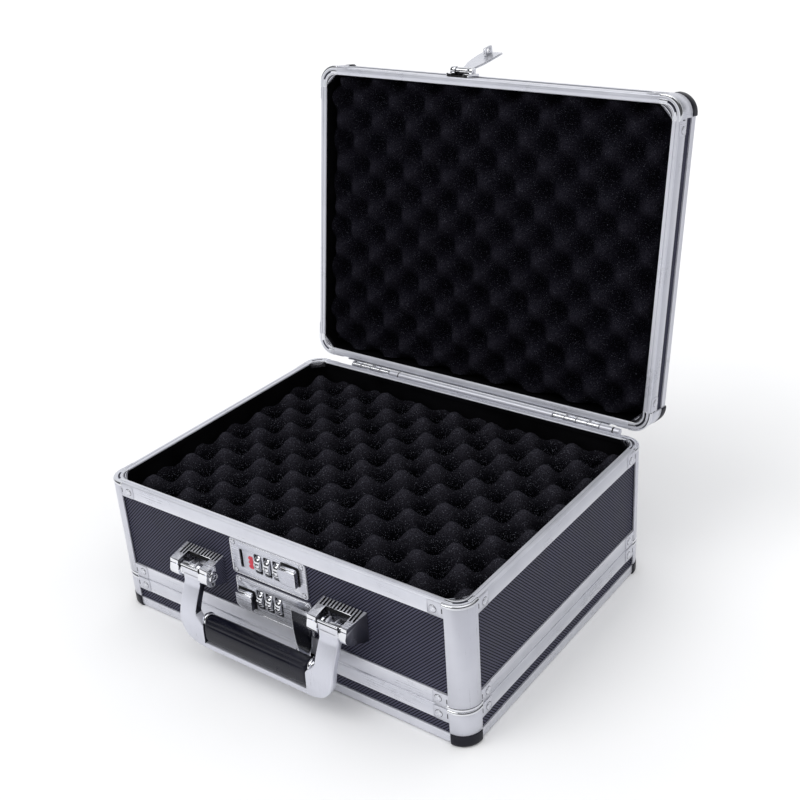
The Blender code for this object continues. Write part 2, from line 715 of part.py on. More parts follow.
def build_handle_frame(handle):
    """Spine through the grip, bar under it, two arms, barrels and pivot pins."""
    axis_at = (PIVOT_Y, PIVOT_Z)
    spine = rod("x", (GRIP_Y, GRIP_Z), SPINE_R, -SPINE_HALF, SPINE_HALF, sides=12)
    arms = [handle_arm(sx) for sx in (-1, 1)]
    bar = prism(BAR_OUTLINE, "x", -BAR_HALF, BAR_HALF)
    knobs = [rod("x", axis_at, KNOB_R, *mirrored(sx, ARM_IN, KNOB_OUT), sides=24)
             for sx in (-1, 1)]
    pins = [rod("x", axis_at, HANDLE_PIN_R, *mirrored(sx, 54.6, 86.4)) for sx in (-1, 1)]
    piece("handle_frame", "satin", spine,
          adds=(merged(*arms), bar, merged(*knobs), merged(*pins)), parent=handle)


def grip_loop(x):
    """Rounded rectangle across the grip."""
    y, z = GRIP_D / 2 - GRIP_EDGE_R, GRIP_H / 2 - GRIP_EDGE_R
    points = []
    for centre, start in (((y, z), 0), ((-y, z), 90), ((-y, -z), 180), ((y, -z), 270)):
        points += arc(centre, GRIP_EDGE_R, start, start + 90, 4)
    return [(x, GRIP_Y + dy, GRIP_Z + dz) for dy, dz in points]


def build_grip(handle):
    half = LOBE_IN - GAP
    hole = rod("x", (GRIP_Y, GRIP_Z), GRIP_HOLE_R, -60.0, 60.0, sides=12)
    piece("handle_grip", "grip", stack([grip_loop(-half), grip_loop(half)]),
          cuts=(hole,), parent=handle)


# ---------------------------------------------------------------- assembly
lower_lid = build_lid("lower", False)
upper_lid = build_lid("upper", True)
build_body_panels()
build_body_rims()
build_body_filling()
build_body_posts()
for build in (build_hinge, build_lock):
    build("upper", True, upper_lid)
    build("lower", False, lower_lid)
build_handle_brackets()
handle_pivot = pivot("handle_pivot", PIVOT_Y, PIVOT_Z)
build_handle_frame(handle_pivot)
build_grip(handle_pivot)
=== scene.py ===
# A foam-lined case with a lid on both faces of its body, lying flat. X runs across it and Z up.
# Locks and handle are on the front (-Y), hinges on the back (+Y). The lower lid is shut and the
# upper one stands open. Drawn in millimetres; lid pieces are drawn as the lower lid's and turned
# over about Y for the upper, and the body's paired pieces are turned over in the same way.
import math

import bmesh
import bpy
import numpy as np
from mathutils import Matrix, Vector


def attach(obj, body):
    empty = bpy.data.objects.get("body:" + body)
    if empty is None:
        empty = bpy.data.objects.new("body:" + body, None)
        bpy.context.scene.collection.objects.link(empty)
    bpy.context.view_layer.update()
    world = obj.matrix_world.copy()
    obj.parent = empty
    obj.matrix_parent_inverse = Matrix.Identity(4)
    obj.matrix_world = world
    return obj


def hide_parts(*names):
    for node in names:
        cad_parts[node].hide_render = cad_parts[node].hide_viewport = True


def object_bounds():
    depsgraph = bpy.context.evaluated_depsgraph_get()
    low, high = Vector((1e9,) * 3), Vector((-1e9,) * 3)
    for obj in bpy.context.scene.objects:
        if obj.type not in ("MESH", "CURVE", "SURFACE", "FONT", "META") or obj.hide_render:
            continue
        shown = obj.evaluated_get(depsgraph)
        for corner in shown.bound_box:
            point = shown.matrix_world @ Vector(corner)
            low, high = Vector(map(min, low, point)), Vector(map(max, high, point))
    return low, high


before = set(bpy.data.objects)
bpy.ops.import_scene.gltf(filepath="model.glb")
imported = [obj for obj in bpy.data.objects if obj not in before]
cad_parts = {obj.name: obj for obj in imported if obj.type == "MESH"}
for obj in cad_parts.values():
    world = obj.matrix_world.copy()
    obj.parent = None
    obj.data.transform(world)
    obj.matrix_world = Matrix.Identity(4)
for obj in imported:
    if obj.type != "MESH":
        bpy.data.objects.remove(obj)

CAD_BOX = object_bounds()

MILLI = 0.001
HALF_W, HALF_D = 350.0 / 2, 270.0 / 2
RADIUS = 15.0                            # plan radius of the case's upright corners
BEND_X, BEND_Y = HALF_W - RADIUS, HALF_D - RADIUS
Z_LOW, Z_HIGH = 29.8, 120.8              # the two partings between body and lids
Z_MID = (Z_LOW + Z_HIGH) / 2
GAP = 0.15
LID_TOP = Z_LOW - GAP                    # mating face of the lower lid
BODY_TOP = Z_HIGH - GAP
BODY_FOOT = Z_LOW + GAP
BAND = 12.3                              # height of a rim frame's outer face
RIM = 6.5                                # width of a rim frame's mating face
RING_STEPS, SWEEP_STEPS = 14, 20         # steps round a corner, for full rings and corner pieces
HINGE_RISE = 1.1
HINGE_Y, HINGE_Z = 139.35, Z_LOW + HINGE_RISE
HASP_Y, HASP_Z = -139.7, 17.7            # hasp axle, on the lower lid


def about_x(degrees, y, z):
    shift = Matrix.Translation((0, y * MILLI, z * MILLI))
    return shift @ Matrix.Rotation(math.radians(degrees), 4, "X") @ shift.inverted()


AS_DRAWN = Matrix.Identity(4)
TURN = (Matrix.Translation((0, 0, Z_MID * MILLI)) @ Matrix.Rotation(math.pi, 4, "Y")
        @ Matrix.Translation((0, 0, -Z_MID * MILLI)))
OPEN = about_x(-98.6, HINGE_Y, Z_HIGH - HINGE_RISE)
THROWN = about_x(-165.0, HASP_Y, 2 * Z_MID - HASP_Z)
POSE = {"upper_lid": OPEN @ TURN, "upper_hasp": OPEN @ THROWN @ TURN}
CASE_POSE = {"upper": TURN, "lower": AS_DRAWN}    # body pieces drawn on its lower half
SIDES = ("upper", "lower")
ENDS = (("left", -1), ("right", 1))
CORNERS = {"fl": (-1, -1), "fr": (1, -1), "rl": (-1, 1), "rr": (1, 1)}


# ------------------------------------------------------------------ shapes
class Shape:
    """Vertices and faces, with a UV tuple or None per face and, if given, relief per vertex."""

    def __init__(self, verts=(), faces=(), uvs=None):
        self.verts, self.faces, self.uvs, self.relief = [], [], [], []
        self.add(verts, faces, uvs)

    def add(self, verts, faces, uvs=None):
        base = len(self.verts)
        self.verts.extend(verts)
        self.faces.extend(tuple(i + base for i in face) for face in faces)
        self.uvs.extend(uvs or [None] * len(faces))


def merged(shapes):
    whole = Shape()
    for shape in shapes:
        whole.add(shape.verts, shape.faces, shape.uvs)
    return whole


def place(axis, along, first, second):
    """Point at a distance along an axis, with its other two coordinates in order."""
    return {"x": (along, first, second), "y": (first, along, second),
            "z": (first, second, along)}[axis]


def prism(outline, axis, start, end):
    """Outline run along an axis between two positions, given in either order."""
    count = len(outline)
    verts = [place(axis, t, *point) for t in sorted((start, end)) for point in outline]
    faces = [tuple(range(count)), tuple(range(2 * count - 1, count - 1, -1))]
    faces += [(i, i + count, (i + 1) % count + count, (i + 1) % count) for i in range(count)]
    return Shape(verts, faces)


def box(x_span, y_span, z_span):
    (x0, x1), (y0, y1) = sorted(x_span), sorted(y_span)
    return prism([(x0, y0), (x1, y0), (x1, y1), (x0, y1)], "z", *z_span)


def arc(x, y, radius, start, end, steps):
    """Points round a centre between two angles in degrees."""
    angles = [math.radians(start + (end - start) * i / steps) for i in range(steps + 1)]
    return [(x + radius * math.cos(a), y + radius * math.sin(a)) for a in angles]


def round_rect(x_span, y_span, radius, steps):
    (x0, x1), (y0, y1) = sorted(x_span), sorted(y_span)
    centres = ((x1 - radius, y1 - radius, 0), (x0 + radius, y1 - radius, 90),
               (x0 + radius, y0 + radius, 180), (x1 - radius, y0 + radius, 270))
    return [point for x, y, start in centres
            for point in arc(x, y, radius, start, start + 90, steps)]


def around(middle, half):
    return middle - half, middle + half


def stack(loops):
    """Solid through a row of closed loops with equal point counts."""
    count = len(loops[0])
    last = (len(loops) - 1) * count
    faces = [tuple(range(count - 1, -1, -1)), tuple(range(last, last + count))]
    for a in range(0, last, count):
        for i in range(count):
            j = (i + 1) % count
            faces.append((a + i, a + j, a + count + j, a + count + i))
    return Shape([point for loop in loops for point in loop], faces)


def lathe(axis, centre, profile, sides):
    """Solid turned about an axis; profile is (position along the axis, radius)."""
    angles = [2 * math.pi * i / sides for i in range(sides)]
    return stack([[place(axis, t, centre[0] + radius * math.cos(a),
                         centre[1] + radius * math.sin(a)) for a in angles]
                  for t, radius in profile])


def spool(centre, start, end, profile, sides):
    """Turned about X with both ends alike; profile is (distance in from the end, radius)."""
    way = math.copysign(1, end - start)
    return lathe("x", centre, [(start + way * inward, radius) for inward, radius in profile]
                 + [(end - way * inward, radius) for inward, radius in profile[::-1]], sides)


def rod(centre, radius, start, end, sides, edge):
    """Round bar along X with softened edges."""
    ends = [(0, radius - edge), (0.3 * edge, radius - 0.3 * edge), (edge, radius)]
    return spool(centre, start, end, ends, sides)


def tube(points, radius, sides):
    """Round bar along a list of points."""
    points = [Vector(point) for point in points]
    loops, up = [], None
    for i, point in enumerate(points):
        ahead = (points[min(i + 1, len(points) - 1)] - points[max(i - 1, 0)]).normalized()
        if up is None:
            up = ahead.cross(Vector((0, 0, 1)))
            if up.length < 0.1:
                up = ahead.cross(Vector((1, 0, 0)))
            up.normalize()
        up = (up - ahead * up.dot(ahead)).normalized()
        across = ahead.cross(up)
        angles = [2 * math.pi * k / sides for k in range(sides)]
        loops.append([tuple(point + (up * math.cos(a) + across * math.sin(a)) * radius)
                      for a in angles])
    return stack(loops)


def lengths(points):
    """Distance run at each point of a path."""
    run = [0.0]
    for a, b in zip(points, points[1:]):
        run.append(run[-1] + math.dist(a, b))
    return run


def swept(section, along, rows, closed):
    """Skin over one row of points per section point; UVs are distances along and across."""
    count = len(rows[0])
    across = lengths(section + section[:1])
    faces, uvs = [], []
    for a in range(len(section)):
        b = (a + 1) % len(section)
        for i in range(count if closed else count - 1):
            j = (i + 1) % count
            faces.append((a * count + i, a * count + j, b * count + j, b * count + i))
            uvs.append(((along[i], across[a]), (along[i + 1], across[a]),
                        (along[i + 1], across[a + 1]), (along[i], across[a + 1])))
    return Shape([point for row in rows for point in row], faces, uvs)


def plan_loop(inset):
    """The case's plan outline, drawn in by an inset."""
    run = arc(BEND_X, BEND_Y, RADIUS - inset, 0.0, 90.0, RING_STEPS)
    back = run[::-1]
    return (run + [(-x, y) for x, y in back] + [(-x, -y) for x, y in run]
            + [(x, -y) for x, y in back])


def ring(section):
    """Section of (inset, z) points swept round the whole plan."""
    outer = plan_loop(0.0)
    rows = [[(x, y, z) for x, y in plan_loop(inset)] for inset, z in section]
    return swept(section, lengths(outer + outer[:1]), rows, closed=True)


def corner_sweep(section, corner, legs, taper, shape_end):
    """Section of (inset, z) points run round one corner.

    legs places the stations of each flange by their distance from the case's far face, farthest
    first. shape_end(end, inset, z) moves a point; end grows from 0 to 1 over the last taper.
    """
    stations = [((HALF_W, HALF_D - leg), (1.0, 0.0)) for leg in legs]
    stations += [((BEND_X + RADIUS * out_x, BEND_Y + RADIUS * out_y), (out_x, out_y))
                 for out_x, out_y in arc(0.0, 0.0, 1.0, 0.0, 90.0, SWEEP_STEPS)]
    stations += [((HALF_W - leg, HALF_D), (0.0, 1.0)) for leg in legs[::-1]]
    along = lengths([foot for foot, _ in stations])
    half = math.pi * RADIUS / 4 + legs[0] - RADIUS
    rows = []
    for section_inset, section_z in section:
        row = []
        for ((x, y), (out_x, out_y)), run in zip(stations, along):
            end = max(0.0, (abs(run - along[-1] / 2) - (half - taper)) / taper)
            inset, z = shape_end(end, section_inset, section_z)
            row.append((corner[0] * (x - out_x * inset), corner[1] * (y - out_y * inset), z))
        rows.append(row)
    shape = swept(section, along, rows, closed=False)
    count = len(stations)
    starts = range(0, len(section) * count, count)
    shape.faces.append(tuple(starts))
    shape.faces.append(tuple(a + count - 1 for a in reversed(starts)))
    shape.uvs += [None, None]
    return shape


# --------------------------------------------------------------- materials
class Nodes:
    """A node tree being wired. The methods below node() return output sockets."""

    def __init__(self, tree):
        self.tree = tree

    def feed(self, socket, value):
        if isinstance(value, bpy.types.NodeSocket):
            self.tree.links.new(value, socket)
        else:
            socket.default_value = (*value, 1.0) if socket.type == "RGBA" else value

    def shade(self, values):
        for key, value in values.items():
            self.feed(self.tree.nodes["Principled BSDF"].inputs[key], value)

    def node(self, kind, values=None, **settings):
        made = self.tree.nodes.new("ShaderNode" + kind)
        for key, value in settings.items():
            setattr(made, key, value)
        for key, value in (values or {}).items():
            self.feed(made.inputs[key], value)
        return made

    def coords(self, kind="Object", scale=(1, 1, 1)):
        source = self.node("TexCoord").outputs[kind]
        return self.node("Mapping", {"Vector": source, "Scale": scale}).outputs["Vector"]

    def noise(self, vector, scale, detail=3.0, rough=0.55):
        return self.node("TexNoise", {"Vector": vector, "Scale": scale, "Detail": detail,
                                      "Roughness": rough}).outputs["Fac"]

    def spread(self, value, low=0.0, high=1.0, start=0.3, end=0.7, curve="LINEAR"):
        """Maps start..end onto low..high."""
        return self.node("MapRange", {"Value": value, "From Min": start, "From Max": end,
                                      "To Min": low, "To Max": high},
                         interpolation_type=curve).outputs["Result"]

    def blend(self, factor, first, second, mode="MIX"):
        return self.node("Mix", {"Factor": factor, 6: first, 7: second},
                         data_type="RGBA", blend_type=mode).outputs[2]

    def math(self, operation, first, second):
        return self.node("Math", {0: first, 1: second}, operation=operation).outputs[0]

    def bump(self, height, strength, distance, normal=None):
        values = {"Strength": strength, "Distance": distance, "Height": height}
        if normal is not None:
            values["Normal"] = normal
        return self.node("Bump", values).outputs["Normal"]

    def edge_wear(self, colour, worn, amount):
        """Lightens convex edges, where handling rubs the surface."""
        convex = self.node("NewGeometry").outputs["Pointiness"]
        return self.blend(self.spread(convex, high=amount, start=0.52, end=0.60), colour, worn)

    def relief_tone(self, hollow, crest, power):
        """Colour from how high a point stands in its piece's relief: painted shade in the hollows
        and painted light on the crests.
        """
        relief = self.node("Attribute", attribute_name="relief").outputs["Fac"]
        return self.blend(self.math("POWER", relief, power), hollow, crest)


def new_material(name):
    made = bpy.data.materials.new(name)
    made.use_nodes = True
    return made, Nodes(made.node_tree)


def metal(name, dark, light, rough, smudge, worn=(0.93, 0.93, 0.95), bare=1.0, grain=None,
          grain_bump=0.0):
    """Clouded metal; grain is the coordinates and stretch of its drawn or brushed lines."""
    made, nodes = new_material(name)
    where = nodes.coords()
    cloud = nodes.noise(where, scale=28.0, detail=4.0)
    colour = nodes.blend(nodes.spread(cloud), dark, light)
    roughness = nodes.spread(cloud, low=rough - smudge, high=rough + smudge)
    normal = nodes.bump(nodes.noise(where, scale=420.0), strength=0.03, distance=0.0002)
    if grain:
        lines = nodes.noise(nodes.coords(*grain), scale=1.0, detail=5.0, rough=0.7)
        colour = nodes.blend(nodes.spread(lines, high=0.55), colour, light)
        roughness = nodes.math("ADD", roughness, nodes.spread(lines, low=-0.06, high=0.08))
        normal = nodes.bump(lines, strength=grain_bump, distance=0.0003, normal=normal)
    nodes.shade({"Base Color": nodes.edge_wear(colour, worn, amount=0.4),
                 "Roughness": roughness, "Normal": normal, "Metallic": bare})
    return made


def coated(name, dark, light, rough, scale, grain, depth, specular, worn=None, hide=False):
    """Plastic, flock or leather cloth; hide swaps the fine noise for a cell pattern."""
    made, nodes = new_material(name)
    where = nodes.coords()
    cloud = nodes.noise(where, scale=35.0, detail=4.0)
    if hide:
        cells = nodes.node("TexVoronoi", {"Scale": scale, "Vector": where},
                           feature="DISTANCE_TO_EDGE").outputs["Distance"]
        fine = nodes.spread(cells, start=0.0, end=0.25)
    else:
        fine = nodes.noise(where, scale=scale, detail=4.0, rough=0.6)
    colour = nodes.blend(nodes.spread(cloud), dark, light)
    if worn:
        colour = nodes.edge_wear(colour, worn, amount=0.5)
    nodes.shade({"Base Color": colour,
                 "Roughness": nodes.spread(cloud, low=rough - 0.07, high=rough + 0.07),
                 "Normal": nodes.bump(fine, strength=grain, distance=depth),
                 "Specular IOR Level": specular})
    return made


def foam_material(name, valley, crest, speck):
    made, nodes = new_material(name)
    where = nodes.coords()
    cells = nodes.noise(where, scale=1000.0, rough=0.75)
    coarse = nodes.noise(where, scale=380.0, rough=0.7)
    tone = nodes.blend(nodes.spread(cells, start=0.32, end=0.68),
                       (0.25, 0.25, 0.26), (1.85, 1.85, 1.9))
    # Painted shade in the valleys and painted light on the crests, times a random grain tone.
    colour = nodes.blend(1.0, nodes.relief_tone(valley, crest, power=1.6), tone, "MULTIPLY")
    dots = nodes.noise(where, scale=1500.0, detail=1.0, rough=0.4)
    swell = nodes.bump(coarse, strength=0.5, distance=0.0012)
    nodes.shade({"Base Color": nodes.blend(nodes.spread(dots, start=0.675, end=0.72),
                                           colour, speck),
                 "Roughness": 1.0, "Specular IOR Level": 0.0,
                 "Normal": nodes.bump(cells, strength=0.8, distance=0.0010, normal=swell)})
    return made


def laminate_material():
    made, nodes = new_material("ribbed_laminate")
    where = nodes.coords()
    fine = nodes.noise(where, scale=900.0, detail=4.0, rough=0.6)
    cloud = nodes.noise(where, scale=35.0, detail=4.0)
    # Painted shade in the grooves and painted light on the rib crests.
    tone = nodes.relief_tone((0.0035, 0.0035, 0.0080), (0.058, 0.058, 0.094), power=1.15)
    tint = nodes.blend(nodes.spread(cloud), (0.78, 0.78, 0.80), (1.12, 1.12, 1.12))
    nodes.shade({"Base Color": nodes.blend(1.0, tone, tint, "MULTIPLY"),
                 "Roughness": nodes.spread(cloud, low=0.42, high=0.55),
                 "Specular IOR Level": 0.16,
                 "Normal": nodes.bump(fine, strength=0.2, distance=0.0002)})
    return made


def paint_material(name, colour, rough):
    made, nodes = new_material(name)
    fine = nodes.noise(nodes.coords(), scale=900.0)
    shadow = tuple(0.8 * channel for channel in colour)
    nodes.shade({"Base Color": nodes.blend(nodes.spread(fine), shadow, colour),
                 "Normal": nodes.bump(fine, strength=0.1, distance=0.0001),
                 "Roughness": rough})
    return made


DRAWN = dict(rough=0.33, smudge=0.08, bare=0.5, grain=("UV", (0.02, 2.2, 1.0)), grain_bump=0.10)
MATERIALS = {
    "frame": metal("drawn_aluminium", dark=(0.51, 0.52, 0.58), light=(0.68, 0.69, 0.75),
                   worn=(0.86, 0.86, 0.90), **DRAWN),
    # A darker copy of the drawn aluminium, as painted shade on faces that look along X.
    "frame_side": metal("drawn_aluminium_painted_shade", dark=(0.41, 0.42, 0.47),
                        light=(0.55, 0.56, 0.61), worn=(0.82, 0.82, 0.86), **DRAWN),
    "post": metal("satin_steel", dark=(0.46, 0.47, 0.53), light=(0.56, 0.57, 0.63), rough=0.32,
                  smudge=0.04, worn=(0.82, 0.82, 0.86), bare=0.6,
                  grain=("Object", (1500, 1500, 10)), grain_bump=0.01),
    "bead": metal("bright_plated_steel", dark=(0.66, 0.67, 0.71), light=(0.84, 0.85, 0.88),
                  rough=0.09, smudge=0.03),
    "rivet": metal("rivet_steel", dark=(0.54, 0.55, 0.60), light=(0.66, 0.67, 0.73),
                   rough=0.26, smudge=0.05, bare=0.7),
    "chrome": metal("chromed_die_casting", dark=(0.68, 0.69, 0.73), light=(0.86, 0.87, 0.90),
                    rough=0.07, smudge=0.03),
    "plate": metal("plated_lock_face", dark=(0.45, 0.46, 0.52), light=(0.62, 0.63, 0.69),
                   rough=0.26, smudge=0.06, bare=0.62, grain=("Object", (40, 900, 900)),
                   grain_bump=0.04),
    # Near-black metal as painted shade, on the rim gussets and the walls inside the handle
    # brackets.
    "gusset": metal("gusset_painted_shade_metal", dark=(0.10, 0.10, 0.125), light=(0.20, 0.20, 0.23),
                    rough=0.22, smudge=0.05),
    "satin": metal("satin_handle_metal", dark=(0.57, 0.58, 0.64), light=(0.67, 0.68, 0.75),
                   rough=0.34, smudge=0.04, bare=0.6, grain=("Object", (900, 900, 20)),
                   grain_bump=0.02),
    "hinge": metal("plated_hinge_steel", dark=(0.55, 0.56, 0.60), light=(0.74, 0.75, 0.79),
                   rough=0.20, smudge=0.06, grain=("Object", (20, 900, 900)), grain_bump=0.04),
    # Near-black metal as painted shade and painted dark reflection, on the brackets' outer sides,
    # the inner edges of the arms, a button's right side and the corner covers' valleys.
    "cheek": metal("painted_shade_reflection_metal", dark=(0.035, 0.036, 0.052), light=(0.075, 0.077, 0.10),
                   rough=0.30, smudge=0.05, worn=(0.6, 0.6, 0.66)),
    "laminate": laminate_material(),
    "lining": coated("black_flocked_lining", dark=(0.0015, 0.0015, 0.002),
                     light=(0.004, 0.004, 0.005), rough=0.95, scale=1400.0, grain=0.5,
                     depth=0.0005, specular=0.03),
    "cap": coated("moulded_cap_plastic", dark=(0.005, 0.005, 0.009),
                  light=(0.010, 0.010, 0.017), rough=0.34, scale=1500.0, grain=0.25,
                  depth=0.0002, specular=0.18, worn=(0.04, 0.04, 0.05)),
    "grip": coated("padded_grip_cover", dark=(0.0030, 0.0033, 0.0080),
                   light=(0.0065, 0.0070, 0.015), rough=0.24, scale=1300.0, grain=0.12,
                   depth=0.0002, specular=0.24, hide=True),
    "foam": foam_material("open_cell_foam", valley=(0.0004, 0.0004, 0.0008),
                          crest=(0.0215, 0.0210, 0.0265), speck=(0.12, 0.12, 0.145)),
    "lid_foam": foam_material("open_cell_lid_foam", valley=(0.0022, 0.0021, 0.0034),
                              crest=(0.0100, 0.0096, 0.0134), speck=(0.070, 0.070, 0.085)),
    "black": paint_material("black_enamel", colour=(0.006, 0.006, 0.008), rough=0.35),
    "red": paint_material("red_enamel", colour=(0.62, 0.03, 0.06), rough=0.4),
    # Near-black paint as painted shade in slots, gaps, grooves and hollows, and as painted shadow
    # round rivet heads and a button.
    "recess": paint_material("painted_recess_shade", colour=(0.008, 0.008, 0.010), rough=0.8),
}


# ------------------------------------------------------------------ pieces
def link(name, data):
    obj = bpy.data.objects.new(name, data)
    bpy.context.scene.collection.objects.link(obj)
    return obj


def raw_object(name, shape):
    """Object holding a shape's bare mesh, in metres."""
    mesh = bpy.data.meshes.new(name)
    bm = bmesh.new()
    tone = bm.verts.layers.float.new("relief") if shape.relief else None
    verts = [bm.verts.new(Vector(point) * MILLI) for point in shape.verts]
    for vert, value in zip(verts, shape.relief):
        vert[tone] = value
    uv_layer = bm.loops.layers.uv.new("UVMap") if any(shape.uvs) else None
    for indices, uvs in zip(shape.faces, shape.uvs):
        # A face that is already there, or names a vertex twice, is refused and skipped.
        try:
            face = bm.faces.new([verts[i] for i in indices])
        except ValueError:
            continue
        if uvs:
            for loop, uv in zip(face.loops, uvs):
                loop[uv_layer].uv = uv
    bmesh.ops.recalc_face_normals(bm, faces=bm.faces[:])
    bm.to_mesh(mesh)
    bm.free()
    return link(name, mesh)


def set_shading(mesh, smooth):
    mesh.polygons.foreach_set("use_smooth", [True] * len(mesh.polygons))
    mesh.set_sharp_from_angle(angle=math.radians(smooth))


def mount(obj, body, stands_for, matrix):
    obj.matrix_world = matrix or POSE.get(body, AS_DRAWN)
    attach(obj, body)
    if stands_for:
        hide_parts(stands_for)


def make(name, shape, finish, body, slot, stands_for=None, matrix=None, cuts=(), bevel=0.0,
         segments=3, bevel_angle=40.0, smooth=35.0, pick=None):
    """One finished piece. finish lists material keys; pick(centre, normal) chooses by face."""
    obj = raw_object(name, shape)
    tools = [raw_object(name + "_tool", cut) for cut in cuts]
    for tool in tools:
        cutter = obj.modifiers.new("b", "BOOLEAN")
        cutter.operation, cutter.solver, cutter.object = "DIFFERENCE", "EXACT", tool
    if bevel:
        edge = obj.modifiers.new("edge", "BEVEL")
        edge.width, edge.segments = bevel * MILLI, segments
        edge.limit_method, edge.angle_limit = "ANGLE", math.radians(bevel_angle)
        edge.use_clamp_overlap = True
        edge.miter_outer = "MITER_ARC"
    if obj.modifiers:
        depsgraph = bpy.context.evaluated_depsgraph_get()
        done = bpy.data.meshes.new_from_object(obj.evaluated_get(depsgraph))
        obj.modifiers.clear()
        obj.data = done
    for tool in tools:
        bpy.data.objects.remove(tool)
    obj.data.materials.clear()
    for key in finish.split():
        obj.data.materials.append(MATERIALS[key])
    if pick:
        for face in obj.data.polygons:
            face.material_index = pick(face.center / MILLI, face.normal)
    set_shading(obj.data, smooth)
    mount(obj, body, stands_for, matrix)


# ---- ribbed laminate ----------------------------------------------------
RIB_PITCH, RIB_HEIGHT = 2.0, 0.42
SKIN_INSET = 1.45                        # foot of the ribs behind the case's outer face
# One rib: (share of the pitch, share of the height)
RIB = [(0.0, 0.0), (0.12, 0.0), (0.27, 0.62), (0.42, 0.95), (0.56, 1.0), (0.70, 0.95),
       (0.85, 0.62), (1.0, 0.0)]
SLOPES = {"front": 1, "right": -1, "back": 1, "left": -1}


def clip(poly, low, high):
    """Part of a polygon of (u, v, s) points where s runs low..high."""
    for sign, limit in ((1, low), (-1, high)):
        kept = []
        for i, start in enumerate(poly):
            end = poly[(i + 1) % len(poly)]
            before, after = sign * (start[2] - limit), sign * (end[2] - limit)
            if before >= -1e-9:
                kept.append(start)
            if min(before, after) < -1e-9 and max(before, after) > 1e-9:
                t = before / (before - after)
                kept.append(tuple(start[k] + t * (end[k] - start[k]) for k in range(3)))
        poly = kept
    return poly


def ribbed(rects, slope, height, back, put):
    """Closed sheets with diagonal ribs over rectangles (u0, u1, v0, v1).

    put(u, v, rise) gives the point on the case; back is the thickness behind the ribs' foot.
    """
    out = Shape()
    diagonal = math.sqrt(0.5)
    for u0, u1, v0, v1 in rects:
        whole = [(u, v, (u * -slope * diagonal + v * diagonal) / RIB_PITCH)
                 for u, v in ((u0, v0), (u1, v0), (u1, v1), (u0, v1))]
        low, high = min(p[2] for p in whole), max(p[2] for p in whole)
        bm = bmesh.new()
        for k in range(math.floor(low), math.ceil(high) + 1):
            for (t0, rise0), (t1, rise1) in zip(RIB, RIB[1:]):
                start, end = k + t0, k + t1
                if end < low or start > high:
                    continue
                poly = clip(whole, start, end)
                if len(poly) < 3:
                    continue
                bm.faces.new([bm.verts.new((u, v, height * (
                    rise0 + (rise1 - rise0) * (s - start) / (end - start)))) for u, v, s in poly])
        bmesh.ops.remove_doubles(bm, verts=bm.verts[:], dist=1e-4)
        edges = [edge for edge in bm.edges if len(edge.link_faces) == 1]
        for item in bmesh.ops.extrude_edge_only(bm, edges=edges)["geom"]:
            if isinstance(item, bmesh.types.BMVert):
                item.co.z = -back
        open_edges = [edge for edge in bm.edges if len(edge.link_faces) == 1]
        bmesh.ops.edgeloop_fill(bm, edges=open_edges)
        bm.verts.index_update()
        out.add([put(*vert.co) for vert in bm.verts],
                [tuple(vert.index for vert in face.verts) for face in bm.faces])
        out.relief += [max(0.0, vert.co.z) / height for vert in bm.verts]
        bm.free()
    return out


def side_point(which, u, v, rise):
    """Point on an upright side: u runs to the right as seen from outside, v up."""
    out_x, out_y = HALF_W - SKIN_INSET + rise, HALF_D - SKIN_INSET + rise
    return {"front": (u, -out_y, v), "back": (-u, out_y, v),
            "right": (out_x, u, v), "left": (-out_x, -u, v)}[which]


def skins(name, v0, v1, body, window=None):
    """Skins of the four sides; window is an X span of the front left open but for a strip."""
    for which, slope in SLOPES.items():
        half = (HALF_W if which in ("front", "back") else HALF_D) - 13.0
        rects = [(-half, half, v0, v1)]
        if window and which == "front":
            rects = [(-half, window[0], v0, v1), (window[1], half, v0, v1), (*window, 73.2, 77.4)]
        shape = ribbed(rects, slope, RIB_HEIGHT, 0.06,
                       lambda u, v, rise: side_point(which, u, v, rise))
        make(name + "_" + which + "_skin", shape, "laminate", body, "laminate", smooth=60)


skins("body", 41.0, 109.6, "case_body", (-37.5, 35.0))
for side in SIDES:
    lid = side + "_lid"
    skins(lid, 6.6, LID_TOP - BAND + 0.8, lid)
    outer = ribbed([(*around(0.0, HALF_W - 7.0), *around(0.0, HALF_D - 7.0))], 1, 0.22, 0.04,
                   lambda u, v, rise: (u, v, -0.04 - rise))
    make(lid + "_outer_skin", outer, "laminate", lid, "laminate", smooth=60)

# The walls and trays behind the skins are lined in black.
for name in ("body_side_panels", "upper_lid_panel", "lower_lid_panel", "body_divider"):
    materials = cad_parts[name].data.materials
    materials.clear()
    materials.append(MATERIALS["lining"])


# ---- rim frames and edge trims ------------------------------------------
# (inset, depth below the mating face)
RIM_SECTION = [
    (0.0, BAND), (0.0, 6.2), (0.0, 1.3), (0.08, 0.85), (0.28, 0.45), (0.62, 0.15), (1.1, 0.0),
    (2.7, 0.0), (2.8, 0.35), (3.3, 0.35), (3.4, 0.0), (5.5, 0.0), (6.1, 0.2), (6.4, 0.55),
    (RIM, 1.1), (RIM, 5.0), (5.6, 5.0), (5.6, 1.4), (1.1, 1.4), (1.1, BAND)]
# (share of the way in from the rim, depth below the mating face)
GUSSET_SECTION = [
    (0.0, 0.2), (0.28, 0.2), (0.34, 0.55), (0.48, 0.55), (0.54, 0.1), (0.64, 0.1), (0.70, 0.3),
    (0.94, 0.3), (1.0, 0.7), (1.0, 5.0), (0.86, 5.0), (0.86, 1.3), (0.0, 1.3)]
GUSSET_LEG = 11.0
# (inset, z) at the lid's outer edge
TRIM_SECTION = [
    (0.0, 7.5), (0.0, 0.5), (0.1, 0.0), (0.35, -0.5), (0.8, -0.9), (1.4, -1.1), (7.1, -1.1),
    (7.4, -0.95), (7.5, -0.7), (7.5, -0.3), (1.1, -0.3), (1.1, 7.5), (0.8, 7.5), (0.3, 7.45)]


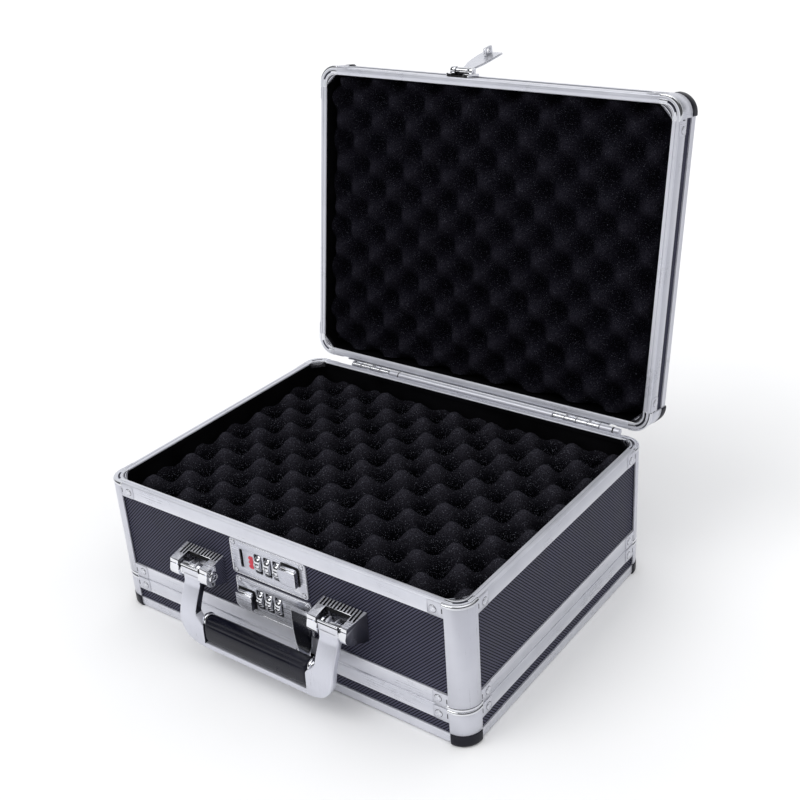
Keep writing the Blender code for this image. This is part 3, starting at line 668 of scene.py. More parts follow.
def gusset(corner, z):
    """Diagonal plate across a rim corner, with lines along it and a lip down."""
    edge_x, edge_y = HALF_W - RIM, HALF_D - RIM
    outer = [(edge_x, edge_y - GUSSET_LEG + 0.5),
             *arc(BEND_X, BEND_Y, RADIUS - RIM + 0.15, 0, 90, 10),
             (edge_x - GUSSET_LEG + 0.5, edge_y)]
    run = lengths(outer)
    loops = []
    for i in range(15):
        t = 0.03 + 0.94 * i / 14
        x, y = (float(np.interp(t * run[-1], run, values)) for values in zip(*outer))
        far_x, far_y = edge_x - GUSSET_LEG * t, edge_y - GUSSET_LEG + GUSSET_LEG * t
        loops.append([(corner[0] * (x + (far_x - x) * share),
                       corner[1] * (y + (far_y - y) * share), z - depth)
                      for share, depth in GUSSET_SECTION])
    return stack(loops)


def side_faces(centre, normal):
    # Faces that look along X take the darker aluminium as painted shade.
    return 1 if abs(normal.x) > 0.9 else 0


def rim(name, node, body, z, matrix=None):
    def rim_face(centre, normal):
        inset = min(HALF_W - abs(centre.x), HALF_D - abs(centre.y))
        if inset > 5.4 and z - centre.z > 1.0:
            return 1
        # Faces that look along X take the darker aluminium as painted shade.
        return 2 if abs(normal.x) > 0.9 else 0

    make(name + "_profile", ring([(inset, z - depth) for inset, depth in RIM_SECTION]),
         "frame lining frame_side", body, "frame", node, matrix, smooth=32, pick=rim_face)
    # Gussets in dark metal as painted shade, with bright plated steel on the raised top line as a
    # painted highlight, and on the undersides.
    make(name + "_gussets", merged(gusset(corner, z) for corner in CORNERS.values()),
         "gusset bead", body, "corner_steel", matrix=matrix, smooth=40,
         pick=lambda centre, normal: 1 if z - centre.z < 0.15 or normal.z < -0.99 else 0)


rim("body_rim_upper", "body_rim_upper", "case_body", BODY_TOP)
rim("body_rim_lower", "body_rim_lower", "case_body", BODY_TOP, TURN)
for side in SIDES:
    lid = side + "_lid"
    rim(lid + "_rim", lid + "_rim_frame", lid, LID_TOP)
    make(lid + "_edge_profile", ring(TRIM_SECTION), "frame frame_side", lid, "frame",
         lid + "_edge_trim", smooth=32, pick=side_faces)


# ---- corner pieces ------------------------------------------------------
RIVET_IN = 25.0                          # rivet's distance from the far face of its corner
RIVET_BASE, RIVET_RADIUS = -0.5, 2.9
# (rise, share of the radius), closed by a small flat; then (inset, radius) of the seat
RIVET_DOME = [(RIVET_BASE - rise, RIVET_RADIUS * share) for rise, share in
              ((0.0, 1.0), (0.3, 0.995), (0.55, 0.94), (0.78, 0.80), (0.93, 0.55))]
RIVET_DOME.append((RIVET_BASE - 1.0, 0.25))
RIVET_SEAT = [(-0.45, 3.22), (-0.57, 3.18), (-0.60, 3.1), (-0.60, 0.5)]
# Plated cover, (inset, depth): an outer roll, a valley, a second roll and an inner lip
COVER_SECTION = [
    (0.2, 3.45), (-0.55, 3.3), (-1.05, 2.85), (-1.3, 2.2), (-1.35, 1.5), (-1.2, 0.9),
    (-0.85, 0.4), (-0.35, 0.08), (0.3, -0.08), (0.9, -0.06), (1.35, 0.12), (1.62, 0.45),
    (1.75, 0.85), (2.1, 0.85), (2.25, 0.45), (2.55, 0.08), (3.1, -0.09), (3.9, -0.10),
    (4.6, -0.04), (5.0, 0.15), (5.2, 0.5), (5.5, 0.5), (5.7, 0.12), (6.0, -0.04), (6.4, 0.08),
    (6.66, 0.5), (6.7, 3.0), (6.55, 3.0), (6.5, 1.6), (0.3, 1.6)]
# Moulded cap, (inset, z)
CAP_SECTION = [
    (-0.25, 8.3), (-0.25, -1.35), (7.0, -1.35), (7.0, -1.95), (6.8, -2.1), (0.9, -2.1),
    (0.2, -1.95), (-0.45, -1.5), (-0.9, -0.85), (-1.15, -0.1), (-1.2, 0.6), (-1.2, 7.9),
    (-1.05, 8.2), (-0.8, 8.3)]


def on_flanges(corner, z, profile):
    """Pieces turned on both flanges of a corner; profile is (inset, radius)."""
    sign_x, sign_y = corner
    return merged([
        lathe("y", (sign_x * (HALF_W - RIVET_IN), z),
              [(sign_y * (HALF_D - inset), radius) for inset, radius in profile], 20),
        lathe("x", (sign_y * (HALF_D - RIVET_IN), z),
              [(sign_x * (HALF_W - inset), radius) for inset, radius in profile], 20)])


def cover(corner, z, way):
    def shape_end(end, inset, point_z):
        if inset < 0.25:
            return inset + (0.25 - inset) * 0.5 * end * end, point_z
        shallow = (point_z - z) * way < 1.5
        return inset, point_z + way * 0.06 * end * end if shallow else point_z

    section = [(inset, z + way * depth) for inset, depth in COVER_SECTION]
    return corner_sweep(section, corner, [18.2, 18.1, 17.9, 17.6, 17.2, 16.6, 15.9], 0.8,
                        shape_end)


def cover_face(centre, normal):
    """Painted shade in a cover's valleys and a painted dark reflection on the middle of its
    second roll.
    """
    x, y = abs(centre.x) - BEND_X, abs(centre.y) - BEND_Y
    if x > 0 and y > 0:
        inset = RADIUS - math.hypot(x, y)
        middle = abs(math.degrees(math.atan2(y, x)) - 45.0) < 26.0
    else:
        inset, middle = RADIUS - max(x, y), False
    depth = min(abs(centre.z - face) for face in (BODY_TOP, BODY_FOOT, LID_TOP))
    if (1.3 < inset < 2.4 and depth > 0.12) or 4.9 < inset < 5.75:
        return 1
    return 1 if middle and 2.5 < inset < 4.3 else 0


def bracket(corner, z, way):
    """Riveted flange running out from the post, in thin sheet with a chamfered end."""
    height = BAND - 0.1
    section = [(inset, z + way * depth) for inset, depth in (
        (-0.1, 0.5), (-0.45, 0.5), (-0.55, 0.65), (-0.55, height - 0.15), (-0.45, height),
        (-0.1, height))]

    def shape_end(end, inset, point_z):
        inward = -way if (point_z - z) * way > height / 2 else way
        return (inset + 0.25 * end if inset < -0.2 else inset), point_z + inward * 1.1 * end

    return corner_sweep(section, corner, [30.0, 29.9, 29.6, 29.0, 28.4], 1.6, shape_end)


def upright(corner, z0, z1):
    """Post sheet round the corner with softly bent edges."""
    def shape_end(end, inset, z):
        return (inset + 0.3 * end * end if inset < 0 else inset + 0.3), z

    section = [(0.2, z0), (-0.75, z0), (-0.9, z0 + 0.2), (-0.9, z1 - 0.2), (-0.75, z1), (0.2, z1)]
    return corner_sweep(section, corner, [16.4, 16.3, 16.1, 15.7], 0.7, shape_end)


def cap(corner):
    def shape_end(end, inset, z):
        return (inset + 0.45 * end * end if inset < -0.3 else inset), z

    return corner_sweep(CAP_SECTION, corner, [16.0, 15.8, 15.5, 15.1], 0.9, shape_end)


def relief_cuts(corner, z, way):
    """Short dark marks beside the post's ends: painted shade standing for slots."""
    sign_x, sign_y = corner
    z_span = (z + way * 4.4, z + way * 8.4)

    def span(sign, half, *insets):
        return [sign * (half - inset) for inset in insets]

    along, proud = (17.1, 17.9), (-0.57, -0.3)
    return merged([
        box(span(sign_x, HALF_W, *along), span(sign_y, HALF_D, *proud), z_span),
        box(span(sign_x, HALF_W, *proud), span(sign_y, HALF_D, *along), z_span)])


def corner_set(name, corner, body, foot, rims, plural=""):
    """Post, with the pieces at each rim given as (mating face, direction away from it)."""
    def add(suffix, builder, finish, smooth, pick=None):
        make(name + suffix, merged(builder(z, way) for z, way in rims), finish, body,
             "corner_steel", smooth=smooth, pick=pick)

    def rivet_z(z, way):
        return z + way * (0.5 * BAND + 0.6)

    make(name + "_sheet", upright(corner, foot, rims[0][0] - 1.2), "post", body,
         "corner_steel", name, smooth=50)
    add("_bracket" + plural, lambda z, way: bracket(corner, z, way), "post", 50)
    add("_bead" + plural, lambda z, way: cover(corner, z, way), "bead cheek", 70, cover_face)
    add("_rivets", lambda z, way: on_flanges(corner, rivet_z(z, way), RIVET_DOME), "rivet", 50)
    # Dark rings round the rivet heads, painted shadow.
    add("_rivet_seats", lambda z, way: on_flanges(corner, rivet_z(z, way), RIVET_SEAT),
        "recess", 50)
    add("_relief_cuts", lambda z, way: relief_cuts(corner, z, way), "recess", 35)


for tag, corner in CORNERS.items():
    corner_set("body_post_" + tag, corner, "case_body", BODY_FOOT + 1.2,
               [(BODY_TOP, -1), (BODY_FOOT, 1)], plural="s")
for side in SIDES:
    lid = side + "_lid"
    for tag, corner in CORNERS.items():
        # Turning the lid over swaps its left and right corners.
        real = tag if side == "lower" else tag[0] + {"l": "r", "r": "l"}[tag[1]]
        corner_set(lid + "_corner_" + real, corner, lid, 8.6, [(LID_TOP, -1)])
        make(lid + "_cap_" + real + "_moulding", cap(corner), "cap", lid, "cap_plastic",
             lid + "_cap_" + real, smooth=45)


# ---- egg-crate foam -----------------------------------------------------
FOAM_STEP = 1.5
BODY_FOAM = dict(inset=5.7, foot=77.2, crest=111.0, pitch=(19.5, 21.8), phase_y=-15.8,
                 radius=9.2, depth=18.0, finish="foam")
LID_FOAM = dict(inset=7.3, foot=4.2, crest=LID_TOP - 2.6, pitch=(19.4, 20.1), phase_y=-7.6,
                radius=20.0, depth=17.0, finish="lid_foam")
NOTCH_BACK = -121.0                      # foam in front of this is pressed back behind a lock


def lumps(rng, cells, count_x, count_y):
    """Smooth random unevenness over the pad's grid."""
    grid = rng.standard_normal((cells, cells))

    def cell_steps(count):
        where = np.linspace(0, cells - 1.001, count + 1)
        near = where.astype(int)
        part = where - near
        return near, np.minimum(near + 1, cells - 1), part * part * (3 - 2 * part)

    near_x, far_x, mix_x = cell_steps(count_x)
    near_y, far_y, mix_y = cell_steps(count_y)
    mix_x, mix_y = mix_x[:, None], mix_y[None, :]
    return (grid[np.ix_(near_x, near_y)] * (1 - mix_x) * (1 - mix_y)
            + grid[np.ix_(far_x, near_y)] * mix_x * (1 - mix_y)
            + grid[np.ix_(near_x, far_y)] * (1 - mix_x) * mix_y
            + grid[np.ix_(far_x, far_y)] * mix_x * mix_y)


def foam_pad(node, body, seed, inset, foot, crest, pitch, phase_y, radius, depth, finish,
             matrix=None, notch=None):
    """Pad of staggered mounds over a flat base, with a roughened skin; notch is an X span."""
    half_x, half_y = HALF_W - inset, HALF_D - inset
    count_x, count_y = int(2 * half_x / FOAM_STEP), int(2 * half_y / FOAM_STEP)
    x, y = np.meshgrid(np.linspace(-half_x, half_x, count_x + 1),
                       np.linspace(-half_y, half_y, count_y + 1), indexing="ij")
    rng = np.random.default_rng(seed)
    wavy_x = x + 0.9 * lumps(rng, 14, count_x, count_y)
    wavy_y = y + 0.9 * lumps(rng, 14, count_x, count_y)
    wave = (np.cos(math.pi * wavy_x / pitch[0])
            * np.cos(math.pi * (wavy_y - phase_y) / pitch[1]))
    relief = (0.5 * (wave + 1.0)) ** 1.05
    top = (crest - depth * (1.0 - relief) + 0.7 * lumps(rng, 12, count_x, count_y) * relief
           + 0.20 * rng.standard_normal(x.shape))
    edge = np.minimum(np.minimum(half_x - np.abs(x), half_y - np.abs(y)), 6.0) / 6.0
    top = np.minimum(top, crest) - 2.2 * (1 - np.clip(edge, 0, 1)) ** 2
    top = np.maximum(top, foot + 2.5)

    # Square corners of the grid are drawn in to round ones.
    centre_x, centre_y = half_x - radius, half_y - radius
    past_x, past_y = np.abs(x) - centre_x, np.abs(y) - centre_y
    in_corner = (past_x > 0) & (past_y > 0)
    reach = np.hypot(np.maximum(past_x, 1e-6), np.maximum(past_y, 1e-6))
    pull = np.where(in_corner, np.maximum(past_x, past_y) / np.maximum(reach, 1e-6), 1.0)
    round_x = np.where(in_corner, np.sign(x) * (centre_x + past_x * pull), x)
    round_y = np.where(in_corner, np.sign(y) * (centre_y + past_y * pull), y)
    if notch:
        pressed = (round_x > notch[0]) & (round_x < notch[1]) & (round_y < NOTCH_BACK)
        round_y = np.where(pressed, NOTCH_BACK + (round_y - NOTCH_BACK) * 0.02, round_y)

    verts = np.stack([round_x, round_y, top], -1).reshape(-1, 3)
    row = count_y + 1
    border = ([i * row for i in range(count_x + 1)]
              + [count_x * row + j for j in range(1, row)]
              + [i * row + count_y for i in range(count_x - 1, -1, -1)]
              + list(range(count_y - 1, 0, -1)))
    low = verts[border].copy()
    low[:, 2] = foot
    base, rim_count = len(verts), len(border)
    faces = [(a, a + row, a + row + 1, a + 1)
             for i in range(count_x) for a in range(i * row, i * row + count_y)]
    for i in range(rim_count):
        j = (i + 1) % rim_count
        faces.append((border[i], base + i, base + j, border[j]))
    faces.append(tuple(base + i for i in range(rim_count - 1, -1, -1)))

    name = node + "_pad"
    mesh = bpy.data.meshes.new(name)
    mesh.from_pydata((np.concatenate([verts, low]) * MILLI).tolist(), [], faces)
    bm = bmesh.new()
    bm.from_mesh(mesh)
    bmesh.ops.recalc_face_normals(bm, faces=bm.faces[:])
    bm.to_mesh(mesh)
    bm.free()
    set_shading(mesh, 65)
    mesh.materials.append(MATERIALS[finish])
    tone = mesh.attributes.new("relief", "FLOAT", "POINT")
    values = np.concatenate([relief.ravel(), np.zeros(rim_count)])
    tone.data.foreach_set("value", values.astype(np.float32))
    mount(link(name, mesh), body, node, matrix)


foam_pad("body_foam_upper", "case_body", seed=12, notch=(-38.0, 36.0), **BODY_FOAM)
foam_pad("body_foam_lower", "case_body", seed=13, notch=(-36.0, 38.0), matrix=TURN, **BODY_FOAM)
foam_pad("upper_lid_foam", "upper_lid", seed=14, **LID_FOAM)
foam_pad("lower_lid_foam", "lower_lid", seed=15, **LID_FOAM)


# ---- hinges -------------------------------------------------------------
LEAF_IN, LEAF_OUT = HALF_D + 0.3, HALF_D + 1.4
KNUCKLE_START, KNUCKLE_PITCH = 88.0, 11.0
HINGE_AXIS = (HINGE_Y, HINGE_Z)
LEAF_RIVETS = (-128, -98, -60, -20, 20, 60, 98, 128)
# (y, radius)
LEAF_RIVET = [(LEAF_OUT - 0.2, 2.3), (LEAF_OUT + 0.15, 2.2), (LEAF_OUT + 0.5, 1.7),
              (LEAF_OUT + 0.65, 0.9), (LEAF_OUT + 0.68, 0.2)]
BARREL_SPANS = ((-87.4, 87.4), (132.6, 144.5), (145.3, 151.0))


def barrel(span, way, profile, sides):
    """Stretch of hinge barrel with the web that joins it to the leaf above (1) or below (-1)."""
    web = round_rect(span, (HINGE_Z + way * 1.0, HINGE_Z + way * 2.7), 0.3, 2)
    return (prism(web, "y", LEAF_IN + 0.2, HINGE_Y),
            spool(HINGE_AXIS, *sorted(span), profile, sides))


def hinge_leaf(node, way, body, matrix):
    """Leaf above the hinge line (way 1) or below it (-1), with alternate knuckles."""
    z_span = (HINGE_Z + way * 1.4, HINGE_Z + way * 10.0)
    leaf = prism(round_rect((-140.0, 140.0), z_span, 1.2, 4), "y", LEAF_IN, LEAF_OUT)
    knuckles = []
    for sign in (-1, 1):
        for k in range(0 if way > 0 else 1, 4, 2):
            start = KNUCKLE_START + k * KNUCKLE_PITCH + (0.15 if k else 0)
            end = KNUCKLE_START + (k + 1) * KNUCKLE_PITCH - (0.15 if k < 3 else 0)
            knuckles += barrel((sign * start, sign * end), way,
                               [(0, 1.4), (0, 2.5), (0.3, 2.8)], 24)
    rivet_z = 0.5 * sum(z_span) + way * 1.2
    rivets = merged(lathe("y", (x, rivet_z), LEAF_RIVET, 18) for x in LEAF_RIVETS)
    make(node + "_plate", leaf, "hinge", body, "hinge_steel", node, matrix, bevel=0.25,
         segments=2)
    make(node + "_knuckles", merged(knuckles), "hinge", body, "hinge_steel", matrix=matrix,
         smooth=40)
    make(node + "_rivets", rivets, "rivet", body, "hinge_steel", matrix=matrix, smooth=50)


def hinge(side):
    matrix = CASE_POSE[side]
    sign = 1 if side == "lower" else -1
    node = side + "_hinge_body_leaf"
    hinge_leaf(node, 1, "case_body", matrix)
    hinge_leaf(side + "_hinge_lid_leaf", -1, side + "_lid", None)
    web, notches = [], []
    for start, end in BARREL_SPANS:
        joint, roll = barrel((sign * start, sign * end), 1, [(0, 1.6), (0, 2.7), (0.3, 3.05)], 32)
        web += [roll, joint]
    # Dark rings at two joints of the barrel, painted shade for the gaps.
    for x in (-77.0, 144.9):
        notches.append(spool(HINGE_AXIS, *around(sign * x, 0.55), [(0, 1.6), (0.05, 3.15)], 24))
    make(node + "_web", merged(web), "post", "case_body", "hinge_steel", matrix=matrix,
         smooth=40)
    make(node + "_notches", merged(notches), "recess", "case_body", "hinge_steel",
         matrix=matrix, smooth=40)
    for tag, end_sign in ENDS:
        way = end_sign * sign
        pin = spool(HINGE_AXIS, *sorted((way * 87.6, way * 132.4)),
                    [(0, 0.7), (0.2, 1.1), (0.5, 1.25)], 20)
        node = side + "_hinge_pin_" + tag
        make(node + "_turned", pin, "hinge", "case_body", "hinge_steel", node, matrix, smooth=40)


for side in SIDES:
    hinge(side)


# ---- locks --------------------------------------------------------------
# Plate centre (x, z), then the X of slit, number wheels and button; way is up or down.
LOCKS = {
    "upper": dict(centre=(-2.0, 92.3), slit=-29.0, dials=(-11.7, -2.3, 7.1), button=20.7, way=1),
    "lower": dict(centre=(-0.5, 58.3), slit=30.0, dials=(-14.2, -4.8, 4.6), button=-28.0,
                  way=-1)}
FACE, BACK = -135.4, -133.9              # y of the lock plate's two faces
DIAL_Y = FACE + 4.5
NUMERAL_RADIUS = 7.83
# Half a number wheel: (distance from its middle, radius); the other half mirrors it
DIAL_HALF = [(3.0, 6.2), (2.9, 6.8), (2.6, 7.3), (2.1, 7.65), (1.4, 7.84)]
DIAL_PROFILE = [(-t, radius) for t, radius in DIAL_HALF] + DIAL_HALF[::-1]


def digit_shape(text):
    """A numeral as a closed thin solid, centred and facing -Y."""
    curve = bpy.data.curves.new("digit", "FONT")
    curve.body = text
    curve.size = 4.4 * MILLI
    curve.extrude = 0.06 * MILLI
    curve.align_x, curve.align_y = "CENTER", "CENTER"
    curve.resolution_u = 3
    obj = link("digit", curve)
    depsgraph = bpy.context.evaluated_depsgraph_get()
    mesh = bpy.data.meshes.new_from_object(obj.evaluated_get(depsgraph))
    bpy.data.objects.remove(obj)
    bm = bmesh.new()
    bm.from_mesh(mesh)
    bmesh.ops.remove_doubles(bm, verts=bm.verts[:], dist=1e-7)
    bm.verts.index_update()
    shape = Shape([(v.co.x / MILLI, -v.co.z / MILLI, v.co.y / MILLI) for v in bm.verts],
                  [tuple(v.index for v in face.verts) for face in bm.faces])
    bm.free()
    bpy.data.meshes.remove(mesh)
    return shape


DIGITS = [digit_shape(str(k)) for k in range(10)]


def dial_shape(x, z):
    """Number wheel: ten flats with finger notches between them and rolled shoulders."""
    loops = []
    for t, radius in DIAL_PROFILE:
        loop = []
        for i in range(60):
            angle = 2 * math.pi * i / 60
            phase = (i % 6) / 6.0 - 0.5
            cut = 0.0
            if abs(phase) < 0.26:
                cut = 0.42 * max(0.0, math.cos(2 * math.pi * phase)) ** 1.5
            loop.append((x + t, DIAL_Y + (radius - cut) * math.cos(angle),
                         z + (radius - cut) * math.sin(angle)))
        loops.append(loop)
    return stack(loops)


def dial_digits(x, z, first):
    """Ten numerals round a wheel, the first one facing -Y."""
    shapes = []
    for k in range(10):
        angle = math.pi + 2 * math.pi * k / 10.0
        cos, sin = math.cos(angle), math.sin(angle)
        digit = DIGITS[(first + k) % 10]
        verts = []
        for across, toward, up in digit.verts:
            out = NUMERAL_RADIUS - toward
            verts.append((x + across * 0.95, DIAL_Y + cos * out + sin * up * 0.82,
                          z + sin * out - cos * up * 0.82))
        shapes.append(Shape(verts, digit.faces))
    return merged(shapes)


def case_hardware(name, shape, finish, **options):
    make(name, shape, finish, "case_body", "hardware", **options)


def lock_plate(side, spec):
    """Plate with its housing in near-black as painted shade, border and rivets; returns the
    openings cut in it.
    """
    x, z = spec["centre"]
    button, way = spec["button"], spec["way"]
    through = (FACE - 1, BACK + 1)
    slit = prism(round_rect(around(spec["slit"], 1.6), around(z, 8.2), 0.7, 3), "y", *through)
    windows = merged(
        [prism(round_rect(around(dial, 3.9), around(z, 8.6), 1.6, 4), "y", *through)
         for dial in spec["dials"]]
        + [box((button - way * 4.3, button + way * 8.3), through, around(z + way * 2.4, 4.3))])
    plate = prism(round_rect(around(x, 38.0), around(z, 15.8), 2.6, 6), "y", FACE, BACK)
    case_hardware(side + "_lock_plate", plate, "plate", stands_for=side + "_lock_body",
                  cuts=(slit, windows), bevel=0.35)

    # housing behind the plate, open to the front, in near-black paint as painted shade seen
    # through the openings
    openings = (spec["slit"], button, *spec["dials"])
    left, right = min(openings) - 6.0, max(openings) + 6.0
    if side == "upper":
        right += 6.0
    else:
        left -= 3.0
    shell = box((left, right), (BACK + 0.02, -121.6), around(z, 10.9))
    well = box((left + 1.0, right - 1.0), (BACK - 1.0, -122.3), around(z, 9.6))
    case_hardware(side + "_lock_housing", shell, "recess", cuts=(well,), bevel=0.3, segments=2)

    border = []
    for sign in (-1, 1):
        line_x, line_z = x + sign * 37.1, z + sign * 14.9
        border.append(tube([(end, FACE + 0.05, line_z) for end in around(x, 35.6)], 0.38, 8))
        border.append(tube([(line_x, FACE + 0.05, end) for end in around(z, 13.4)], 0.38, 8))
    case_hardware(side + "_lock_border", merged(border), "chrome", smooth=60)

    # (distance behind the plate's face, radius)
    head = [(0.1, 2.05), (-0.3, 2.03), (-0.55, 1.8), (-0.75, 1.3), (-0.83, 0.7), (-0.85, 0.15)]
    seat = [(0.1, 2.35), (-0.05, 2.3), (-0.07, 1.7)]
    # The seats are dark rings round the heads, painted shadow.
    for suffix, profile, finish in (("", head, "rivet"), ("_seat", seat, "recess")):
        profile = [(FACE + behind, radius) for behind, radius in profile]
        rivets = merged(lathe("y", (rivet_x, rivet_z), profile, 22)
                        for rivet_x in around(x, 34.2) for rivet_z in around(z, 12.5))
        case_hardware(side + "_lock_rivet" + suffix + "s", rivets, finish, smooth=50)
    return windows


def red_mark(z):
    """Red field beside the upper lock's slit, with a scalloped left edge."""
    edge = [(-19.9 - 1.6 * abs(math.sin(3 * math.pi * k / 24)), z + 4.9 - 11.2 * k / 24)
            for k in range(25)]
    mark = prism([(-16.9, z - 6.1), (-16.9, z + 4.7)] + edge, "y", FACE - 0.3, FACE + 0.2)
    case_hardware("upper_lock_red_mark", mark, "red", bevel=0.05, segments=1)


def push_button(side, x, z, windows):
    """Block with one broadly rounded lower corner and a ledge along its top."""
    body = side + "_button"
    (x0, x1), (z0, z1) = around(x, 8.3), around(z, 7.8)
    small, large = 1.2, 5.2
    outline = (arc(x1 - small, z1 - 3.4, small, 0, 90, 4)
               + arc(x0 + small, z1 - 3.4, small, 90, 180, 4)
               + arc(x0 + large, z0 + large, large, 180, 270, 8)
               + arc(x1 - small, z0 + small, small, 270, 360, 4))

    # Plate on the front, painted shade on the right side face, chrome elsewhere.
    def cap_face(centre, normal):
        if normal.y < -0.97:
            return 0
        return 2 if normal.x > 0.75 else 1

    make(body + "_cap", prism(outline, "y", FACE - 5.0, FACE - 0.35), "plate chrome cheek",
         body, "hardware", body, bevel=0.7, segments=4, pick=cap_face)
    # A dark pad a little larger than the button, painted shadow round it.
    seat = prism(round_rect(around(x, 8.3 + 0.9), around(z, 7.8 + 0.9), 2.0, 4), "y",
                 FACE - 0.05, FACE + 0.2)
    case_hardware(body + "_shadow_seat", seat, "recess", cuts=(windows,), bevel=0.03, segments=1)
    ledge = prism(round_rect((x0 + 2.0, x1 - 0.6), (z1 - 3.2, z1 - 0.5), 1.0, 3), "y",
                  FACE - 3.6, FACE - 0.35)
    make(body + "_ledge", ledge, "chrome", body, "hardware", bevel=0.5)
    stem = box(around(x, 3.5), (FACE - 1.0, FACE + 8.0), around(z, 3.6))
    make(body + "_stem", stem, "recess", body, "hardware", bevel=0.3, segments=2)


HASP_AXIS = (HASP_Y, HASP_Z)
HASP_TIP = HASP_Z + 51.8
# Cranked tongue, from the axle to the flat end tab: (y, z, half width, half thickness)
TONGUE = [
    (-140.0, 22.0, 5.3, 1.1), (-140.4, 27.0, 5.6, 1.1), (-140.2, 31.0, 6.4, 1.1),
    (-139.9, 37.0, 8.2, 1.15), (-139.6, 48.0, 9.3, 1.15), (-139.4, 56.0, 9.5, 1.15),
    (-139.4, 63.0, 9.5, 1.1), (-139.7, HASP_TIP - 3.0, 9.2, 1.0), (-140.2, HASP_TIP, 7.6, 0.9)]


def hasp_mount(side, x):
    def base_face(centre, normal):
        """Painted shade inside the slot that is cut in the base."""
        if abs(centre.x - x) >= 6.2:
            return 0
        wall = centre.z > HASP_Z - 4.4 and centre.y > -137.9 and abs(normal.z) < 0.9
        return 1 if wall or -136.5 < centre.y < -135.3 else 0

    lid = side + "_lid"
    base = prism(round_rect(around(x, 11.5), (9.4, 27.0), 1.2, 4), "y", -138.0, -HALF_D - 0.3)
    slot_cut = box(around(x, 6.0), (-150.0, -135.9), (HASP_Z - 4.2, 40.0))
    ears = merged(rod(HASP_AXIS, 3.6, *sorted((x + sign * 6.3, x + sign * 11.0)), 28, 0.4)
                  for sign in (-1, 1))
    make(side + "_hasp_mount_base", base, "chrome recess", lid, "hardware",
         side + "_hasp_mount", cuts=(slot_cut,), bevel=0.4, pick=base_face)
    make(side + "_hasp_mount_ears", ears, "chrome", lid, "hardware", smooth=40)


def hasp(side, x):
    body = side + "_hasp"
    loops = []
    for y, z, wide, thick in TONGUE:
        section = ((-wide, thick * 0.6), (-wide + 0.35, thick), (wide - 0.35, thick),
                   (wide, thick * 0.6), (wide, -thick * 0.3), (wide - 1.0, -thick * 0.95),
                   (wide - 2.2, -thick), (-wide + 2.2, -thick), (-wide + 1.0, -thick * 0.95),
                   (-wide, -thick * 0.3))
        loops.append([(x + across, y + back, z) for across, back in section])
    make(body + "_tongue", stack(loops), "chrome plate", body, "hardware", body, smooth=40,
         pick=lambda centre, normal: 1 if centre.z > 66.0 or side == "upper" else 0)
    knuckle = spool(HASP_AXIS, *around(x, 5.7), [(0, 1.2), (0, 2.7), (0.4, 3.1)], 28)
    make(body + "_knuckle", knuckle, "chrome", body, "hardware", smooth=40)
    make(body + "_axle", rod(HASP_AXIS, 1.5, *around(x, 11.3), 20, 0.4), "rivet", body,
         "hardware", smooth=40)
    neck = prism([(-141.9, 18.5), (-140.9, 25.5), (-138.9, 25.5), (-138.2, 19.5)], "x",
                 *around(x, 5.4))
    make(body + "_neck", neck, "chrome", body, "hardware", bevel=0.4)


def staple(x, z):
    """Loop on the upper hasp at the lock's height, with small ribs along its lower edge."""
    loop = prism(round_rect((-138.6, -131.2), around(z, 5.6), 1.8, 5), "x", *around(x, 1.15))
    hole = prism(round_rect((-135.6, -132.6), around(z, 2.6), 1.2, 4), "x", *around(x, 3))
    make("upper_hasp_staple", loop, "chrome", "upper_hasp", "hardware", cuts=(hole,), bevel=0.35)
    ribs = merged(tube([(end, -137.4 + 1.25 * k, z - 5.5) for end in around(x, 1.2)], 0.3, 8)
                  for k in range(5))
    make("upper_hasp_staple_ribs", ribs, "chrome", "upper_hasp", "hardware", smooth=60)


for side, spec in LOCKS.items():
    lock_z = spec["centre"][1]
    windows = lock_plate(side, spec)
    if side == "upper":
        red_mark(lock_z)
    for i, x in enumerate(spec["dials"]):
        body = side + "_dial_" + str(i + 1)
        first = 3 * i + (0 if side == "upper" else 4)
        make(body + "_wheel", dial_shape(x, lock_z), "chrome", body, "hardware", body, smooth=28)
        make(body + "_numerals", dial_digits(x, lock_z, first), "black", body, "hardware",
             smooth=30)
    push_button(side, spec["button"], lock_z + spec["way"] * 2.4, windows)
    hasp_x = -spec["slit"] if side == "upper" else spec["slit"]
    hasp_mount(side, hasp_x)
    hasp(side, hasp_x)
    if side == "upper":
        staple(hasp_x, 2 * Z_MID - lock_z)


# ---- handle brackets ----------------------------------------------------
PIVOT = PIVOT_Y, PIVOT_Z = -147.5, 73.6
DECK_BACK_Y, DECK_BACK_Z = -133.9, 86.1
DECK_FRONT_Y, DECK_FRONT_Z = -153.0, 82.4


def deck(y):
    """Height of a bracket's sloping top."""
    fall = DECK_BACK_Z - DECK_FRONT_Z
    return DECK_BACK_Z + (y - DECK_BACK_Y) * fall / (DECK_BACK_Y - DECK_FRONT_Y)


def bracket_face(centre, normal):
    """Painted dark reflection on the outer side walls, bright comb tops with painted shade in
    their gaps, painted shade inside, chrome elsewhere.
    """
    x, y = abs(centre.x), centre.y
    if abs(normal.x) > 0.9 and x > 84.0 and centre.z < 83.0:
        return 1
    under = deck(y) - centre.z
    if (y > -141.5 or (x > 82.4 and y > -145.9)) and under < 2.6:
        return 2 if normal.z > 0.5 and under < 0.7 else 3
    return 4 if 58.0 < x < 81.8 and y > -151.95 and under > 1.4 else 0


